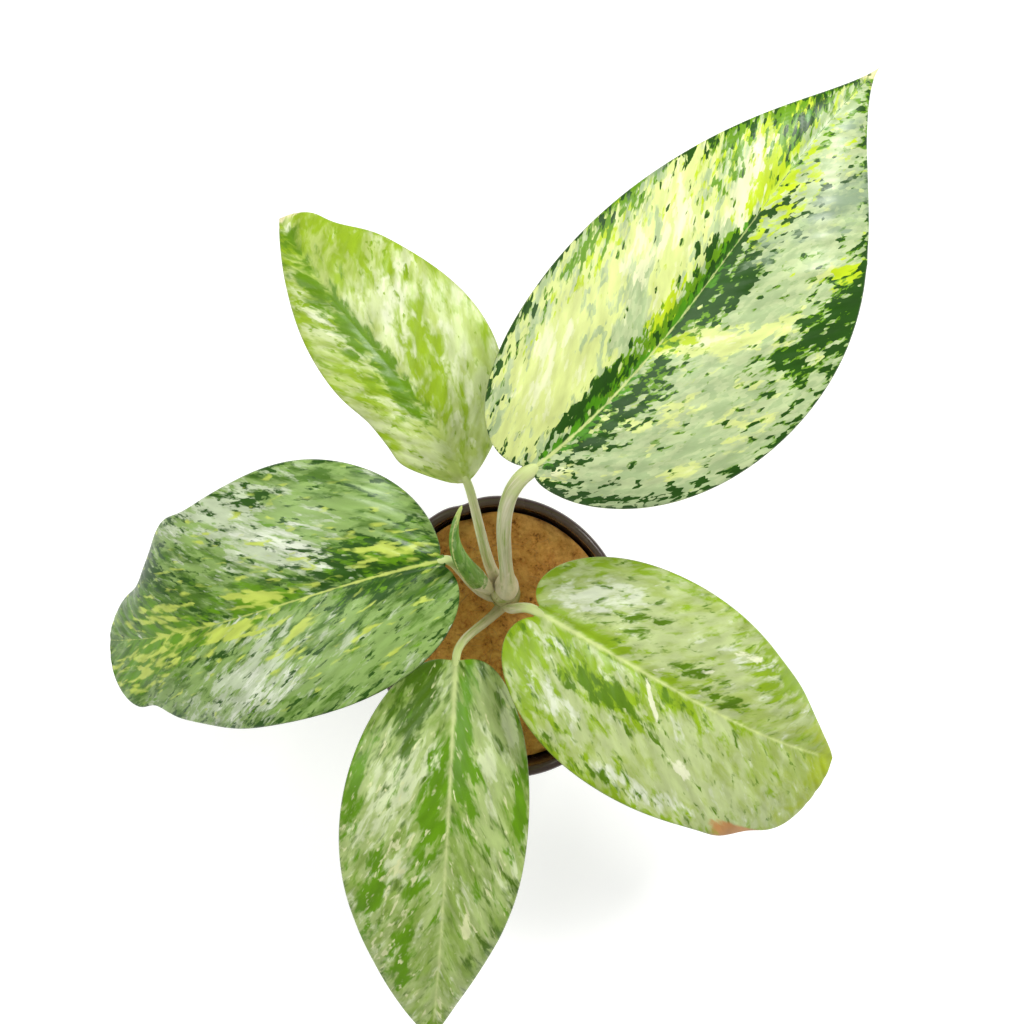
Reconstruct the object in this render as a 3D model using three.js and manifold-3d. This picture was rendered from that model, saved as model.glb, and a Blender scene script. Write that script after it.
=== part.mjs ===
// A potted white rose aglaonema: a plastic nursery pot filled with coir, a short cane, five
// variegated leaves on long stalks, and one new leaf that is still rolled up.
// Lengths are in millimetres and angles in degrees. +Z is up, +Y is the back of the plant, and
// the origin is the middle of the pot's flat underside.

import * as THREE from "three";
import { mergeVertices } from "three/addons/utils/BufferGeometryUtils.js";
import Module from "manifold-3d";

const wasm = await Module();
wasm.setup();

// Clearance between pieces that touch on the real plant.
const GAP = 0.3;
// Points closer than this are one point.
const MERGE = 0.002;

// A thin nursery pot with a rolled lip, squeezed a little oval, with one small dent in its rim.
const POT = {
  height: 90,
  baseRadius: 37,
  rimRadius: 51,
  wall: 1.3,
  floor: 1.8,
  footRound: 1.5,
  lipWidth: 3.8,
  lipDrop: 9,
  lipRound: 0.8,
  oval: 2.65,
  ovalTurn: 102,
  dentDepth: 1.2,
  dentTurn: 107,
  dentSpread: 5,
  drainHoles: 6,
  drainRadius: 4,
  drainRing: 26,
  drainSides: 16,
  sides: 48,
};

// Coir up to a finger's width below the rim, a little lumpy on top.
const SOIL = {
  top: 78,
  lumps: [
    { height: 0.9, across: 23, turn: 20, shift: 0.4 },
    { height: 0.7, across: 17, turn: 95, shift: 1.3 },
    { height: 0.5, across: 11, turn: 150, shift: 2.2 },
  ],
  mound: 2.2,
  moundRadius: 14,
  rings: 8,
};

// The short cane that carries every leaf, with the scars of old leaves as low rings.
const STEM = {
  path: [
    [0.5, 12, 50],
    [0.5, 14, 70],
    [0.4, 16.5, 90],
    [0.3, 19, 106],
  ],
  radius: [6, 5.2],
  scars: [0.5, 0.64, 0.78],
  scarHeight: 0.35,
  scarSpread: 0.03,
  sides: 14,
  stations: 28,
};

// How every leaf blade is built up.
const BLADE = {
  thickness: 0.9,
  keel: 1.7,
  channel: 0.5,
  arch: 0.3,
  stations: 24,
  columns: 5,
  tipRib: 0.4,
  innerShare: 0.4,
  sweepPower: 0.6,
  waveEase: 0.3,
};

// Sections of the stalks and of the rolled leaf.
const STALK = { sides: 10, stations: 12, channel: 0.16, channelSpread: 40, sheathSpread: 0.15 };

// One entry for each open leaf. The midrib is a cubic curve from the stalk to the tip. On each
// side, half is the greatest half-width, widest its place along the midrib from 0 to 1, and
// base and tip say how full the outline is towards each end, where a low number is fuller.
// A ripple is [place, height, spread] and a wave [height, number, shift]. The sweep is the
// angle of the side veins at the base and at the tip, and fold the angle of the blade's V. A
// stalk's radius is its foot's and its top's, and sheath is how much wider it clasps the cane.
const LEAVES = [
  {
    name: "back_right",
    color: 0xb9cf8c,
    midrib: [
      [7.7, 59.5, 193],
      [54, 92.5, 222],
      [77, 146, 231],
      [114.8, 182.3, 213],
    ],
    ribWidth: 4.4,
    fold: 14,
    sweep: [-54, 0],
    left: { half: 44, widest: 0.385, base: 0.8, tip: 1.43, ripples: [], wave: [1.2, 1.6, 0.1] },
    right: { half: 50.2, widest: 0.48, base: 0.83, tip: 1.47, ripples: [], wave: [1.8, 1.4, 0.6] },
    stalk: {
      from: [0.8, 19.4, 106.4],
      toward: [2.6, 27, 140],
      handle: 18,
      radius: [2.4, 2.6],
      sheath: 2.2,
    },
  },
  {
    name: "back_left",
    color: 0xa6c46a,
    midrib: [
      [-12.3, 57.4, 152],
      [-27, 92.5, 172],
      [-59, 115, 172],
      [-75.4, 146.1, 158],
    ],
    ribWidth: 3.2,
    fold: 14,
    sweep: [24, -12],
    left: {
      half: 20.3,
      widest: 0.425,
      base: 0.46,
      tip: 0.96,
      ripples: [
        [0.09, 0.2, 0.076],
        [0.315, -0.08, 0.096],
      ],
      wave: [1.2, 1.8, 0.3],
    },
    right: {
      half: 34.3,
      widest: 0.4,
      base: 0.585,
      tip: 0.3,
      ripples: [[0.94, -0.22, 0.08]],
      wave: [1.4, 1.3, 0.8],
    },
    stalk: {
      from: [-2.6, 22.6, 100],
      toward: [-6.6, 27.4, 122],
      handle: 9,
      radius: [2.3, 1.5],
      sheath: 0.3,
    },
  },
  {
    name: "left",
    color: 0x5c8a3c,
    midrib: [
      [-19.9, 30.8, 150],
      [-64.2, 22.2, 162],
      [-105.6, 1.8, 148],
      [-147.5, -0.7, 96],
    ],
    ribWidth: 4,
    fold: 12,
    sweep: [-60, -11],
    left: {
      half: 45.4,
      widest: 0.43,
      base: 0.84,
      tip: 0.27,
      ripples: [
        [0.71, 0.05, 0.11],
        [0.89, -0.1, 0.035],
        [0.955, 0.05, 0.04],
      ],
      wave: [2, 2.1, 0.1],
    },
    right: {
      half: 53,
      widest: 0.47,
      base: 0.97,
      tip: 0.42,
      ripples: [
        [0.795, 0.13, 0.065],
        [0.912, -0.25, 0.075],
      ],
      wave: [1.8, 2.4, 0.5],
    },
    stalk: {
      from: [-2, 15.5, 88],
      toward: [-12, 14.5, 92],
      handle: 5,
      radius: [2.1, 1.9],
      sheath: 0.4,
    },
  },
  {
    name: "front",
    color: 0x88ab52,
    midrib: [
      [-17.1, -5.8, 122],
      [-19, -55.4, 131],
      [-22, -105, 117],
      [-27.2, -151.5, 90],
    ],
    ribWidth: 3.6,
    fold: 12,
    sweep: [-21, -36],
    left: { half: 33.4, widest: 0.515, base: 0.415, tip: 0.92, ripples: [], wave: [1.5, 1.7, 0.2] },
    right: { half: 46.4, widest: 0.62, base: 0.355, tip: 0.655, ripples: [], wave: [1.5, 1.5, 0.7] },
    stalk: {
      from: [-0.3, 12, 84],
      toward: [-7, 4, 96],
      handle: 9,
      radius: [2, 1.5],
      sheath: 0.4,
    },
  },
  {
    name: "front_right",
    color: 0x9bbb5c,
    midrib: [
      [11.3, 12.8, 140],
      [48.7, -6.6, 151],
      [83.2, -32, 140],
      [121.7, -43.8, 103],
    ],
    ribWidth: 4,
    fold: 12,
    sweep: [-66, -12],
    left: {
      half: 41.8,
      widest: 0.445,
      base: 0.72,
      tip: 0.78,
      ripples: [
        [0.845, 0.046, 0.06],
        [0.966, -0.08, 0.046],
      ],
      wave: [1.3, 1.6, 0.4],
    },
    right: {
      half: 49.5,
      widest: 0.49,
      base: 0.62,
      tip: 0.19,
      ripples: [
        [0.846, 0.09, 0.06],
        [0.87, -0.092, 0.052],
      ],
      wave: [1.6, 1.9, 0.9],
    },
    stalk: {
      from: [0.6, 12.4, 88],
      toward: [2.5, 9.4, 108],
      handle: 7,
      radius: [1.9, 1.8],
      sheath: 0.4,
    },
  },
];

// The youngest leaf, rolled up tight, pale at its foot and pointed at its tip.
const NEW_LEAF = {
  path: [
    [-5.6, 19, 104],
    [-12, 26, 146],
    [-20.5, 35.5, 176],
    [-12.7, 49.1, 196],
  ],
  footRadius: 2.4,
  middleRadius: 3.9,
  middle: 0.3,
  tipRadius: 0.5,
  taper: 1.4,
  rollStep: 0.16,
  facing: [-1, 0.4, 0],
  sides: 12,
  stations: 16,
};

// Colours and gloss of what isn't a leaf blade.
const FINISHES = {
  pot: { color: 0x4a3a34, roughness: 0.45, metalness: 0 },
  soil: { color: 0x8a5a2e, roughness: 0.95, metalness: 0 },
  stem: { color: 0xb7ae7c, roughness: 0.6, metalness: 0 },
  stalk: { color: 0xc6c396, roughness: 0.5, metalness: 0 },
  newLeaf: { color: 0x7da04a, roughness: 0.4, metalness: 0 },
};
const BLADE_ROUGHNESS = 0.4;

const { degToRad, lerp, smoothstep } = THREE.MathUtils;
const UP = new THREE.Vector3(0, 0, 1);

function vector(point) {
  return new THREE.Vector3(...point);
}

function curveThrough(points) {
  return new THREE.CubicBezierCurve3(...points.map(vector));
}

function bell(x, centre, spread) {
  return Math.exp(-(((x - centre) / spread) ** 2));
}

// The same surface with its shared points merged and its triangles of no width left out.
function closed(geometry) {
  const bare = new THREE.BufferGeometry();
  bare.setAttribute("position", geometry.getAttribute("position"));
  bare.setIndex(geometry.getIndex());
  const merged = mergeVertices(bare, MERGE);
  const index = merged.getIndex().array;
  const kept = [];
  for (let i = 0; i < index.length; i += 3) {
    const [a, b, c] = index.slice(i, i + 3);
    if (a !== b && b !== c && c !== a) kept.push(a, b, c);
  }
  merged.setIndex(kept);
  return merged;
}

function toSolid(geometry) {
  return new wasm.Manifold(
    new wasm.Mesh({
      numProp: 3,
      vertProperties: new Float32Array(geometry.getAttribute("position").array),
      triVerts: new Uint32Array(geometry.getIndex().array),
    }),
  );
}

function fromSolid(solid) {
  const mesh = solid.getMesh();
  const geometry = new THREE.BufferGeometry();
  geometry.setAttribute("position", new THREE.BufferAttribute(mesh.vertProperties, 3));
  geometry.setIndex(new THREE.BufferAttribute(mesh.triVerts, 1));
  return geometry;
}

function cut(geometry, tools) {
  const solids = tools.map(toSolid);
  return fromSolid(solids.reduce((left, tool) => left.subtract(tool), toSolid(geometry)));
}

// A closed solid through rings of points that turn to the left about the way from the first ring
// to the last. Strips across the first and the last ring close the ends. The two faces of a flat
// ring are split into triangles alike.
function loft(rings) {
  const count = rings[0].length;
  const lastRow = (rings.length - 1) * count;
  const faces = [];
  const quad = (a, b, c, d, flipped) => {
    const pair = flipped ? [a, b, d, b, c, d] : [a, b, c, a, c, d];
    faces.push(...pair);
  };
  for (let row = 0; row < lastRow; row += count) {
    for (let k = 0; k < count; k++) {
      const next = (k + 1) % count;
      const onTop = k < count / 2;
      const column = onTop ? k : count - 2 - k;
      const onLeft = column < (count / 2 - 1) / 2;
      const flipped = onTop ? !onLeft : onLeft;
      quad(row + k, row + next, row + count + next, row + count + k, flipped);
    }
  }
  for (let k = 0; k < count / 2 - 1; k++) {
    const across = count - 1 - k;
    quad(k, across, across - 1, k + 1, false);
    quad(lastRow + k, lastRow + k + 1, lastRow + across - 1, lastRow + across, false);
  }
  const positions = rings.flat().flatMap((p) => [p.x, p.y, p.z]);
  const geometry = new THREE.BufferGeometry();
  geometry.setAttribute("position", new THREE.Float32BufferAttribute(positions, 3));
  geometry.setIndex(faces);
  return closed(geometry);
}

// A solid round a curve. radiusAt gives the section's radius from the place along the curve and
// the turn about it, where 0 is to the left of facing and 90 is above. grow makes the whole solid
// fatter and longer, for cutting clearance in a neighbour.
function tube(curve, facing, sides, stations, radiusAt, grow = 0) {
  const level = new THREE.Vector3().crossVectors(UP, facing).normalize();
  const ring = (u, push) => {
    const along = curve.getTangentAt(u);
    const left = level.clone().addScaledVector(along, -level.dot(along)).normalize();
    const above = new THREE.Vector3().crossVectors(along, left);
    const centre = curve.getPointAt(u).addScaledVector(along, push);
    return Array.from({ length: sides }, (_, k) => {
      const turn = (360 * (k + 0.5)) / sides;
      const radius = radiusAt(u, turn) + grow;
      return centre
        .clone()
        .addScaledVector(left, radius * Math.cos(degToRad(turn)))
        .addScaledVector(above, radius * Math.sin(degToRad(turn)));
    });
  };
  const rings = Array.from({ length: stations + 1 }, (_, i) => {
    const push = i === 0 ? -grow : i === stations ? grow : 0;
    return ring(i / stations, push);
  });
  return loft(rings);
}

// Radius of the pot's wall, outside, at a height.
function wallRadius(z) {
  const top = POT.rimRadius - POT.lipWidth + POT.wall;
  return lerp(POT.baseRadius, top, z / POT.height);
}

// Presses a round turned shape to the pot's oval and puts the dent in its rim.
function squeeze(geometry) {
  const position = geometry.getAttribute("position");
  const point = new THREE.Vector3();
  for (let i = 0; i < position.count; i++) {
    point.fromBufferAttribute(position, i);
    const turn = THREE.MathUtils.radToDeg(Math.atan2(point.y, point.x));
    const share = smoothstep(point.z, 0, POT.height) / POT.rimRadius;
    const oval = POT.oval * Math.cos(degToRad(2 * (turn - POT.ovalTurn)));
    const dent = POT.dentDepth * bell(turn, POT.dentTurn, POT.dentSpread);
    const factor = 1 + share * (oval - dent);
    position.setXY(i, point.x * factor, point.y * factor);
  }
  return geometry;
}

// A solid of revolution about +Z, from [radius, height] points that run from axis to axis.
function turned(profile) {
  const points = profile.map(([r, z]) => new THREE.Vector2(r, z));
  return new THREE.LatheGeometry(points, POT.sides).rotateX(Math.PI / 2);
}

function potGeometry() {
  const { height, rimRadius, lipWidth, lipDrop, lipRound, wall, floor, footRound } = POT;
  const inner = (z) => wallRadius(z) - wall;
  const skirt = rimRadius - wall;
  const body = closed(
    squeeze(
      turned([
        [0, 0],
        [POT.baseRadius - footRound, 0],
        [wallRadius(footRound), footRound],
        [wallRadius(height - lipDrop), height - lipDrop],
        [wallRadius(height - wall), height - wall],
        [skirt, height - wall],
        [skirt, height - lipDrop],
        [rimRadius, height - lipDrop],
        [rimRadius, height - lipRound],
        [rimRadius - lipRound, height],
        [rimRadius - lipWidth + lipRound, height],
        [rimRadius - lipWidth, height - lipRound],
        [inner(height / 2), height / 2],
        [inner(floor), floor],
        [0, floor],
      ]),
    ),
  );
  const holes = Array.from({ length: POT.drainHoles }, (_, i) => {
    const turn = (2 * Math.PI * i) / POT.drainHoles;
    return closed(
      new THREE.CylinderGeometry(POT.drainRadius, POT.drainRadius, 4 * floor, POT.drainSides)
        .rotateX(Math.PI / 2)
        .translate(POT.drainRing * Math.cos(turn), POT.drainRing * Math.sin(turn), 0),
    );
  });
  return cut(body, holes);
}

// Height of the coir above its level top.
function lumpiness(x, y) {
  const lumps = SOIL.lumps.map(({ height, across, turn, shift }) => {
    const along = x * Math.cos(degToRad(turn)) + y * Math.sin(degToRad(turn));
    return height * Math.sin((2 * Math.PI * along) / across + shift);
  });
  const [stemX, stemY] = STEM.path[2];
  const mound = SOIL.mound * bell(Math.hypot(x - stemX, y - stemY), 0, SOIL.moundRadius);
  return lumps.reduce((sum, lump) => sum + lump, mound);
}

function soilGeometry(hole) {
  const inner = (z) => wallRadius(z) - POT.wall - GAP;
  const bottom = POT.floor + GAP;
  const edge = inner(SOIL.top);
  const rings = Array.from({ length: SOIL.rings + 1 }, (_, i) => {
    return [(edge * (SOIL.rings - i)) / SOIL.rings, SOIL.top];
  });
  const side = [bottom, POT.height / 2].map((z) => [inner(z), z]);
  const body = squeeze(turned([[0, bottom], ...side, ...rings]));
  const position = body.getAttribute("position");
  for (let i = 0; i < position.count; i++) {
    const x = position.getX(i);
    const y = position.getY(i);
    const onTop = position.getZ(i) > SOIL.top - GAP && Math.hypot(x, y) < edge - POT.oval;
    if (onTop) position.setZ(i, SOIL.top + lumpiness(x, y));
  }
  return cut(closed(body), [hole]);
}

function stemGeometry(grow = 0) {
  const radiusAt = (u) => {
    const scars = STEM.scars.map((scar) => STEM.scarHeight * bell(u, scar, STEM.scarSpread));
    return lerp(...STEM.radius, u) + Math.max(...scars);
  };
  const facing = vector([1, 0, 0]);
  return tube(curveThrough(STEM.path), facing, STEM.sides, STEM.stations, radiusAt, grow);
}

// Half-width of one side of a blade, without its rib.
function halfWidth(side, u) {
  const x = u ** (Math.log(0.5) / Math.log(side.widest));
  const power = lerp(side.base, side.tip, Math.max(0, 2 * x - 1));
  const ripples = side.ripples.map(([at, height, spread]) => 1 + height * bell(u, at, spread));
  const outline = Math.max(0, Math.sin(Math.PI * x)) ** power;
  return ripples.reduce((width, ripple) => width * ripple, side.half * outline);
}

// Place and directions of a leaf's midrib, u of the way from the stalk to the tip.
function bladeFrame(leaf, u) {
  const curve = curveThrough(leaf.midrib);
  const along = curve.getTangentAt(u);
  const left = new THREE.Vector3().crossVectors(UP, along).normalize();
  const above = new THREE.Vector3().crossVectors(along, left);
  const rib = (leaf.ribWidth / 2) * lerp(1, BLADE.tipRib, u);
  return { point: curve.getPointAt(u), along, left, above, rib };
}

// Points across one half of a blade's upper face, from the margin in to the middle. Where the
// blade starts it is only as wide as its rib.
function halfRow(leaf, u, isLeft) {
  const { point, along, left, above, rib } = bladeFrame(leaf, u);
  const side = isLeft ? leaf.left : leaf.right;
  const width = Math.max(halfWidth(side, u), (leaf.ribWidth / 2) * (1 - u));
  const sweep = degToRad(lerp(...leaf.sweep, u ** BLADE.sweepPower));
  const [waveHeight, waves, shift] = side.wave;
  const wave = waveHeight * Math.sin(2 * Math.PI * (waves * u + shift));
  const waveShare = Math.min(1, width / (BLADE.waveEase * side.half));
  const inner = u === 0 ? width : Math.min(rib, BLADE.innerShare * width);
  return Array.from({ length: BLADE.columns }, (_, i) => {
    const share = (BLADE.columns - 1 - i) / (BLADE.columns - 1);
    const out = lerp(inner, width, share);
    const swept = Math.max(0, out - rib);
    const v = out / width;
    const lift = out * Math.tan(degToRad(leaf.fold)) - BLADE.arch * width * v ** 2;
    return point
      .clone()
      .addScaledVector(left, (isLeft ? 1 : -1) * (out - swept + swept * Math.cos(sweep)))
      .addScaledVector(along, swept * Math.sin(sweep))
      .addScaledVector(above, lift + wave * waveShare * v ** 2);
  });
}

// Place of a blade's station, closer together towards both ends.
function stationAt(i) {
  return (1 - Math.cos((Math.PI * i) / BLADE.stations)) / 2;
}

// The upper points of every station, from the left margin to the right, with the midrib between.
function upperRows(leaf) {
  return Array.from({ length: BLADE.stations + 1 }, (_, i) => {
    const u = stationAt(i);
    const { point, above, rib } = bladeFrame(leaf, u);
    const sunk = point.clone().addScaledVector(above, (-BLADE.channel * rib * 2) / leaf.ribWidth);
    const tip = u === 1;
    const left = halfRow(leaf, u, true);
    const right = halfRow(leaf, u, false).reverse();
    return tip ? [...left, ...right, point].map(() => point) : [...left, sunk, ...right];
  });
}

function bladeGeometry(leaf) {
  const middle = BLADE.columns;
  const rings = upperRows(leaf).map((row, i) => {
    const { above, rib } = bladeFrame(leaf, stationAt(i));
    const keel = (BLADE.keel * rib * 2) / leaf.ribWidth - BLADE.channel;
    const lower = row.map((point, j) => {
      const depth = BLADE.thickness + (j === middle ? keel : 0);
      return point.clone().addScaledVector(above, -depth);
    });
    return [...row, ...lower.reverse()];
  });
  return loft(rings);
}

// A stalk from the cane to just under the start of its leaf's midrib.
function stalkGeometry(leaf, grow = 0) {
  const { from, toward, handle, radius, sheath } = leaf.stalk;
  const { point, along, above } = bladeFrame(leaf, 0);
  const end = point
    .clone()
    .addScaledVector(above, -(BLADE.thickness + BLADE.keel) / 2)
    .addScaledVector(along, -GAP);
  const beforeEnd = end.clone().addScaledVector(along, -handle);
  const curve = new THREE.CubicBezierCurve3(vector(from), vector(toward), beforeEnd, end);
  const radiusAt = (u, turn) => {
    const body = lerp(...radius, u) + sheath * bell(u, 0, STALK.sheathSpread);
    return body * (1 - STALK.channel * bell(turn, 90, STALK.channelSpread));
  };
  const facing = new THREE.Vector3(along.x, along.y, 0);
  return tube(curve, facing, STALK.sides, STALK.stations, radiusAt, grow);
}

// The rolled leaf swells from its foot, tapers to its tip and shows the edge of its roll.
function newLeafGeometry(grow = 0) {
  const { footRadius, middleRadius, middle, tipRadius, taper, rollStep, sides, stations } = NEW_LEAF;
  const radiusAt = (u, turn) => {
    const swell = lerp(footRadius, middleRadius, smoothstep(u, 0, middle));
    const pastMiddle = Math.max(0, (u - middle) / (1 - middle));
    return lerp(swell, tipRadius, pastMiddle ** taper) * (1 - (rollStep * turn) / 360);
  };
  const facing = vector(NEW_LEAF.facing);
  return tube(curveThrough(NEW_LEAF.path), facing, sides, stations, radiusAt, grow);
}

function mesh(name, geometry, finish) {
  const piece = new THREE.Mesh(geometry, new THREE.MeshStandardMaterial(finish));
  geometry.computeVertexNormals();
  piece.name = name;
  return piece;
}

function pottedPart() {
  const part = new THREE.Group();
  part.add(mesh("pot", potGeometry(), FINISHES.pot));
  part.add(mesh("soil", soilGeometry(stemGeometry(GAP)), FINISHES.soil));
  return part;
}

// Each stalk is cut clear of the cane and of the stalks before it, which it nestles against.
function plantPart() {
  const part = new THREE.Group();
  part.add(mesh("stem", stemGeometry(), FINISHES.stem));
  const clearance = [stemGeometry(GAP)];
  for (const leaf of LEAVES) {
    part.add(mesh(`petiole_${leaf.name}`, cut(stalkGeometry(leaf), clearance), FINISHES.stalk));
    clearance.push(stalkGeometry(leaf, GAP));
    const finish = { color: leaf.color, roughness: BLADE_ROUGHNESS, metalness: 0 };
    part.add(mesh(`blade_${leaf.name}`, bladeGeometry(leaf), finish));
  }
  part.add(mesh("new_leaf", cut(newLeafGeometry(), clearance), FINISHES.newLeaf));
  return part;
}

const pottedAglaonema = new THREE.Group();
pottedAglaonema.add(pottedPart(), plantPart());

export default pottedAglaonema;
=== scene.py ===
"""Looks of a potted white rose aglaonema, seen from straight above, for Blender 4.5.

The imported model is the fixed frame. Every piece made here stands for one of its nodes, at the
same place and with the same main form, but as fine as the eye sees it. Lengths are in
millimetres until a mesh is finished, and angles are in degrees.
"""

from __future__ import annotations

import bisect
import logging
import math
import random
from dataclasses import dataclass, field, replace
from enum import Enum
from functools import lru_cache, partial
from typing import Any, Callable

import bmesh
import bpy
from mathutils import Matrix, Vector, noise


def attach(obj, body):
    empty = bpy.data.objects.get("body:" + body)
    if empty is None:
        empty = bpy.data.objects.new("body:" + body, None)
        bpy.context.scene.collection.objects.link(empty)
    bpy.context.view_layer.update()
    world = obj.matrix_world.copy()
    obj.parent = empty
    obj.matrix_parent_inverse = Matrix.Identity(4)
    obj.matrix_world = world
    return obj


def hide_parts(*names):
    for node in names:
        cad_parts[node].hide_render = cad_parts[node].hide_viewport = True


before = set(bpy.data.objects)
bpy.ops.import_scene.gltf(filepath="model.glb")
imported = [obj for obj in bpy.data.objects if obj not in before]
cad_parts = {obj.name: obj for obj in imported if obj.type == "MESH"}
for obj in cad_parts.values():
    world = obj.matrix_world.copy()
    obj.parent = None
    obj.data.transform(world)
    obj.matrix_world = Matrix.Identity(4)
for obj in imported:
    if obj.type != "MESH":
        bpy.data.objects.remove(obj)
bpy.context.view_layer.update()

LOG = logging.getLogger("aglaonema")
BODY = "root"
MM = 0.001
WELD = 0.0005
TURN = 2 * math.pi
UP = Vector((0.0, 0.0, 1.0))

# The two charts that living skins read: lengths along and across, and to the margin and the tip.
GRAIN = "grain"
EDGES = "edges"
FAR = 100.0

# How much closer the rows and columns of a blade lie at its ends and its middle.
GRID_EASE = 0.6

# Nearly all of a noise lies in this range, round its middle.
NOISE_RANGE = (0.3, 0.7)
NOISE_MIDDLE = 0.5
SEED_STEP = (3.7, 1.9, 1.0)

Pair = tuple[float, float]
Point = tuple[float, float, float]
Quad = tuple[float, float, float, float]
Chart = Quad
Mesh = bmesh.types.BMesh
Material = bpy.types.Material
Node = bpy.types.Node
AddNode = Callable[..., Node]


def lerp(a: float, b: float, share: float) -> float:
    """Returns the value that lies share of the way from a to b."""
    return a + (b - a) * share


def smooth(x: float, low: float, high: float) -> float:
    """Returns a smooth step of x, 0 up to low and 1 from high on."""
    share = min(1.0, max(0.0, (x - low) / (high - low)))
    return share * share * (3.0 - 2.0 * share)


def bell(x: float, centre: float, spread: float) -> float:
    """Returns a bump of height 1 at centre that dies away over spread."""
    return math.exp(-(((x - centre) / spread) ** 2))


class Curve:
    """A cubic curve that is read by the share of its length."""

    SAMPLES = 200

    def __init__(self, points: tuple[Point, ...]) -> None:
        """Measures the curve.

        Args:
            points: The start, the two handles and the end.
        """
        self.points = [Vector(point) for point in points]
        spots = [self._at(i / self.SAMPLES) for i in range(self.SAMPLES + 1)]
        self.lengths = [0.0]
        for before, after in zip(spots, spots[1:]):
            self.lengths.append(self.lengths[-1] + (after - before).length)
        self.length = self.lengths[-1]

    def _at(self, t: float) -> Vector:
        """Returns the point at the curve's own parameter."""
        a, b, c, d = self.points
        s = 1.0 - t
        return a * s**3 + b * 3 * s * s * t + c * 3 * s * t * t + d * t**3

    def _parameter(self, u: float) -> float:
        """Returns the curve's own parameter for a share of its length.

        Args:
            u: The share of the length.

        Returns:
            The parameter, from 0 to 1.
        """
        target = min(1.0, max(0.0, u)) * self.length
        i = min(self.SAMPLES - 1, max(0, bisect.bisect_right(self.lengths, target) - 1))
        before, after = self.lengths[i], self.lengths[i + 1]
        return (i + (target - before) / (after - before)) / self.SAMPLES

    def tangent(self, u: float) -> Vector:
        """Returns the direction of the curve, u of the way along it.

        Args:
            u: The share of the length.

        Returns:
            The direction, of length 1.
        """
        a, b, c, d = self.points
        t = self._parameter(u)
        s = 1.0 - t
        return ((b - a) * s * s + (c - b) * 2 * s * t + (d - c) * t * t).normalized()

    def point(self, u: float) -> Vector:
        """Returns the point u of the way along, straight on past either end."""
        over = u - min(1.0, max(0.0, u))
        return self._at(self._parameter(u)) + self.tangent(u) * over * self.length

    def beside(self, u: float, level: Vector, angle: float, radius: float, drop: float = 0.0) -> Vector:
        """Returns a point on a ring round the curve.

        Args:
            u: The way along the curve.
            level: The direction that angle 0 is nearest to.
            angle: The way round the ring in radians, with the top at a quarter turn.
            radius: The ring's radius.
            drop: How far the ring lies below the curve.

        Returns:
            The point.
        """
        along = self.tangent(u)
        left = (level - along * level.dot(along)).normalized()
        above = along.cross(left)
        spoke = left * math.cos(angle) + above * math.sin(angle)
        return self.point(u) - above * drop + spoke * radius


def mapped_grid(
    rows: int, columns: int, place: Callable[[float, float], Vector],
    chart: Callable[[float, float], Chart], two_faced: bool = False
) -> Mesh:
    """Makes a grid, wraps it once round a surface and closes its ends.

    Args:
        rows: Steps along u.
        columns: Steps along v.
        place: Gives the point for u and v, both from 0 to 1.
        chart: Gives the four pattern lengths for u and v.
        two_faced: Whether the second half of v takes the second material.

    Returns:
        The mesh, still in millimetres.
    """
    mesh = bmesh.new()
    bmesh.ops.create_grid(mesh, x_segments=columns, y_segments=rows, size=0.5)
    grain = mesh.loops.layers.uv.new(GRAIN)
    edges = mesh.loops.layers.uv.new(EDGES)
    spots = {vert: (vert.co.y + 0.5, vert.co.x + 0.5) for vert in mesh.verts}
    charts = {vert: chart(*spot) for vert, spot in spots.items()}
    for face in mesh.faces:
        face.smooth = True
        if two_faced and face.calc_center_median().x > 0:
            face.material_index = 1
        for loop in face.loops:
            along, across, margin, tip = charts[loop.vert]
            loop[grain].uv = (along, across)
            loop[edges].uv = (margin, tip)
    for vert, spot in spots.items():
        vert.co = place(*spot)
    bmesh.ops.remove_doubles(mesh, verts=mesh.verts, dist=WELD)
    rim = [edge for edge in mesh.edges if edge.is_boundary]
    bmesh.ops.holes_fill(mesh, edges=rim, sides=0)
    bmesh.ops.recalc_face_normals(mesh, faces=mesh.faces)
    return mesh


def new_object(name: str, mesh: Mesh) -> bpy.types.Object:
    """Puts a mesh into the scene.

    Args:
        name: The object's name.
        mesh: The mesh. It is freed.

    Returns:
        The new object.
    """
    data = bpy.data.meshes.new(name)
    mesh.to_mesh(data)
    mesh.free()
    made = bpy.data.objects.new(name, data)
    bpy.context.scene.collection.objects.link(made)
    return made


def finish_piece(mesh: Mesh, name: str, materials: list[Material], node: str) -> None:
    """Turns a finished mesh into a piece of the plant, in metres at the origin.

    Args:
        mesh: The mesh in millimetres. It is freed.
        name: The piece's name.
        materials: Its materials.
        node: The node that it stands for.
    """
    bmesh.ops.scale(mesh, vec=(MM, MM, MM), verts=mesh.verts)
    piece = new_object(name, mesh)
    for material in materials:
        piece.data.materials.append(material)
    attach(piece, BODY)
    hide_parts(node)
    LOG.info("%s: %d faces", name, len(piece.data.polygons))


def linear(hex_colour: str) -> Quad:
    """Turns an sRGB hex colour into linear light.

    Args:
        hex_colour: Six hex digits.

    Returns:
        Red, green, blue and alpha.
    """
    shares = [int(hex_colour[i : i + 2], 16) / 255.0 for i in (0, 2, 4)]
    light = [s / 12.92 if s <= 0.04045 else ((s + 0.055) / 1.055) ** 2.4 for s in shares]
    return (*light, 1.0)


def blend(first: str, second: str, share: float) -> str:
    """Returns the hex colour that lies share of the way from the first to the second."""
    pairs = ((int(first[i : i + 2], 16), int(second[i : i + 2], 16)) for i in (0, 2, 4))
    return "".join(f"{round(lerp(a, b, share)):02x}" for a, b in pairs)


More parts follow.
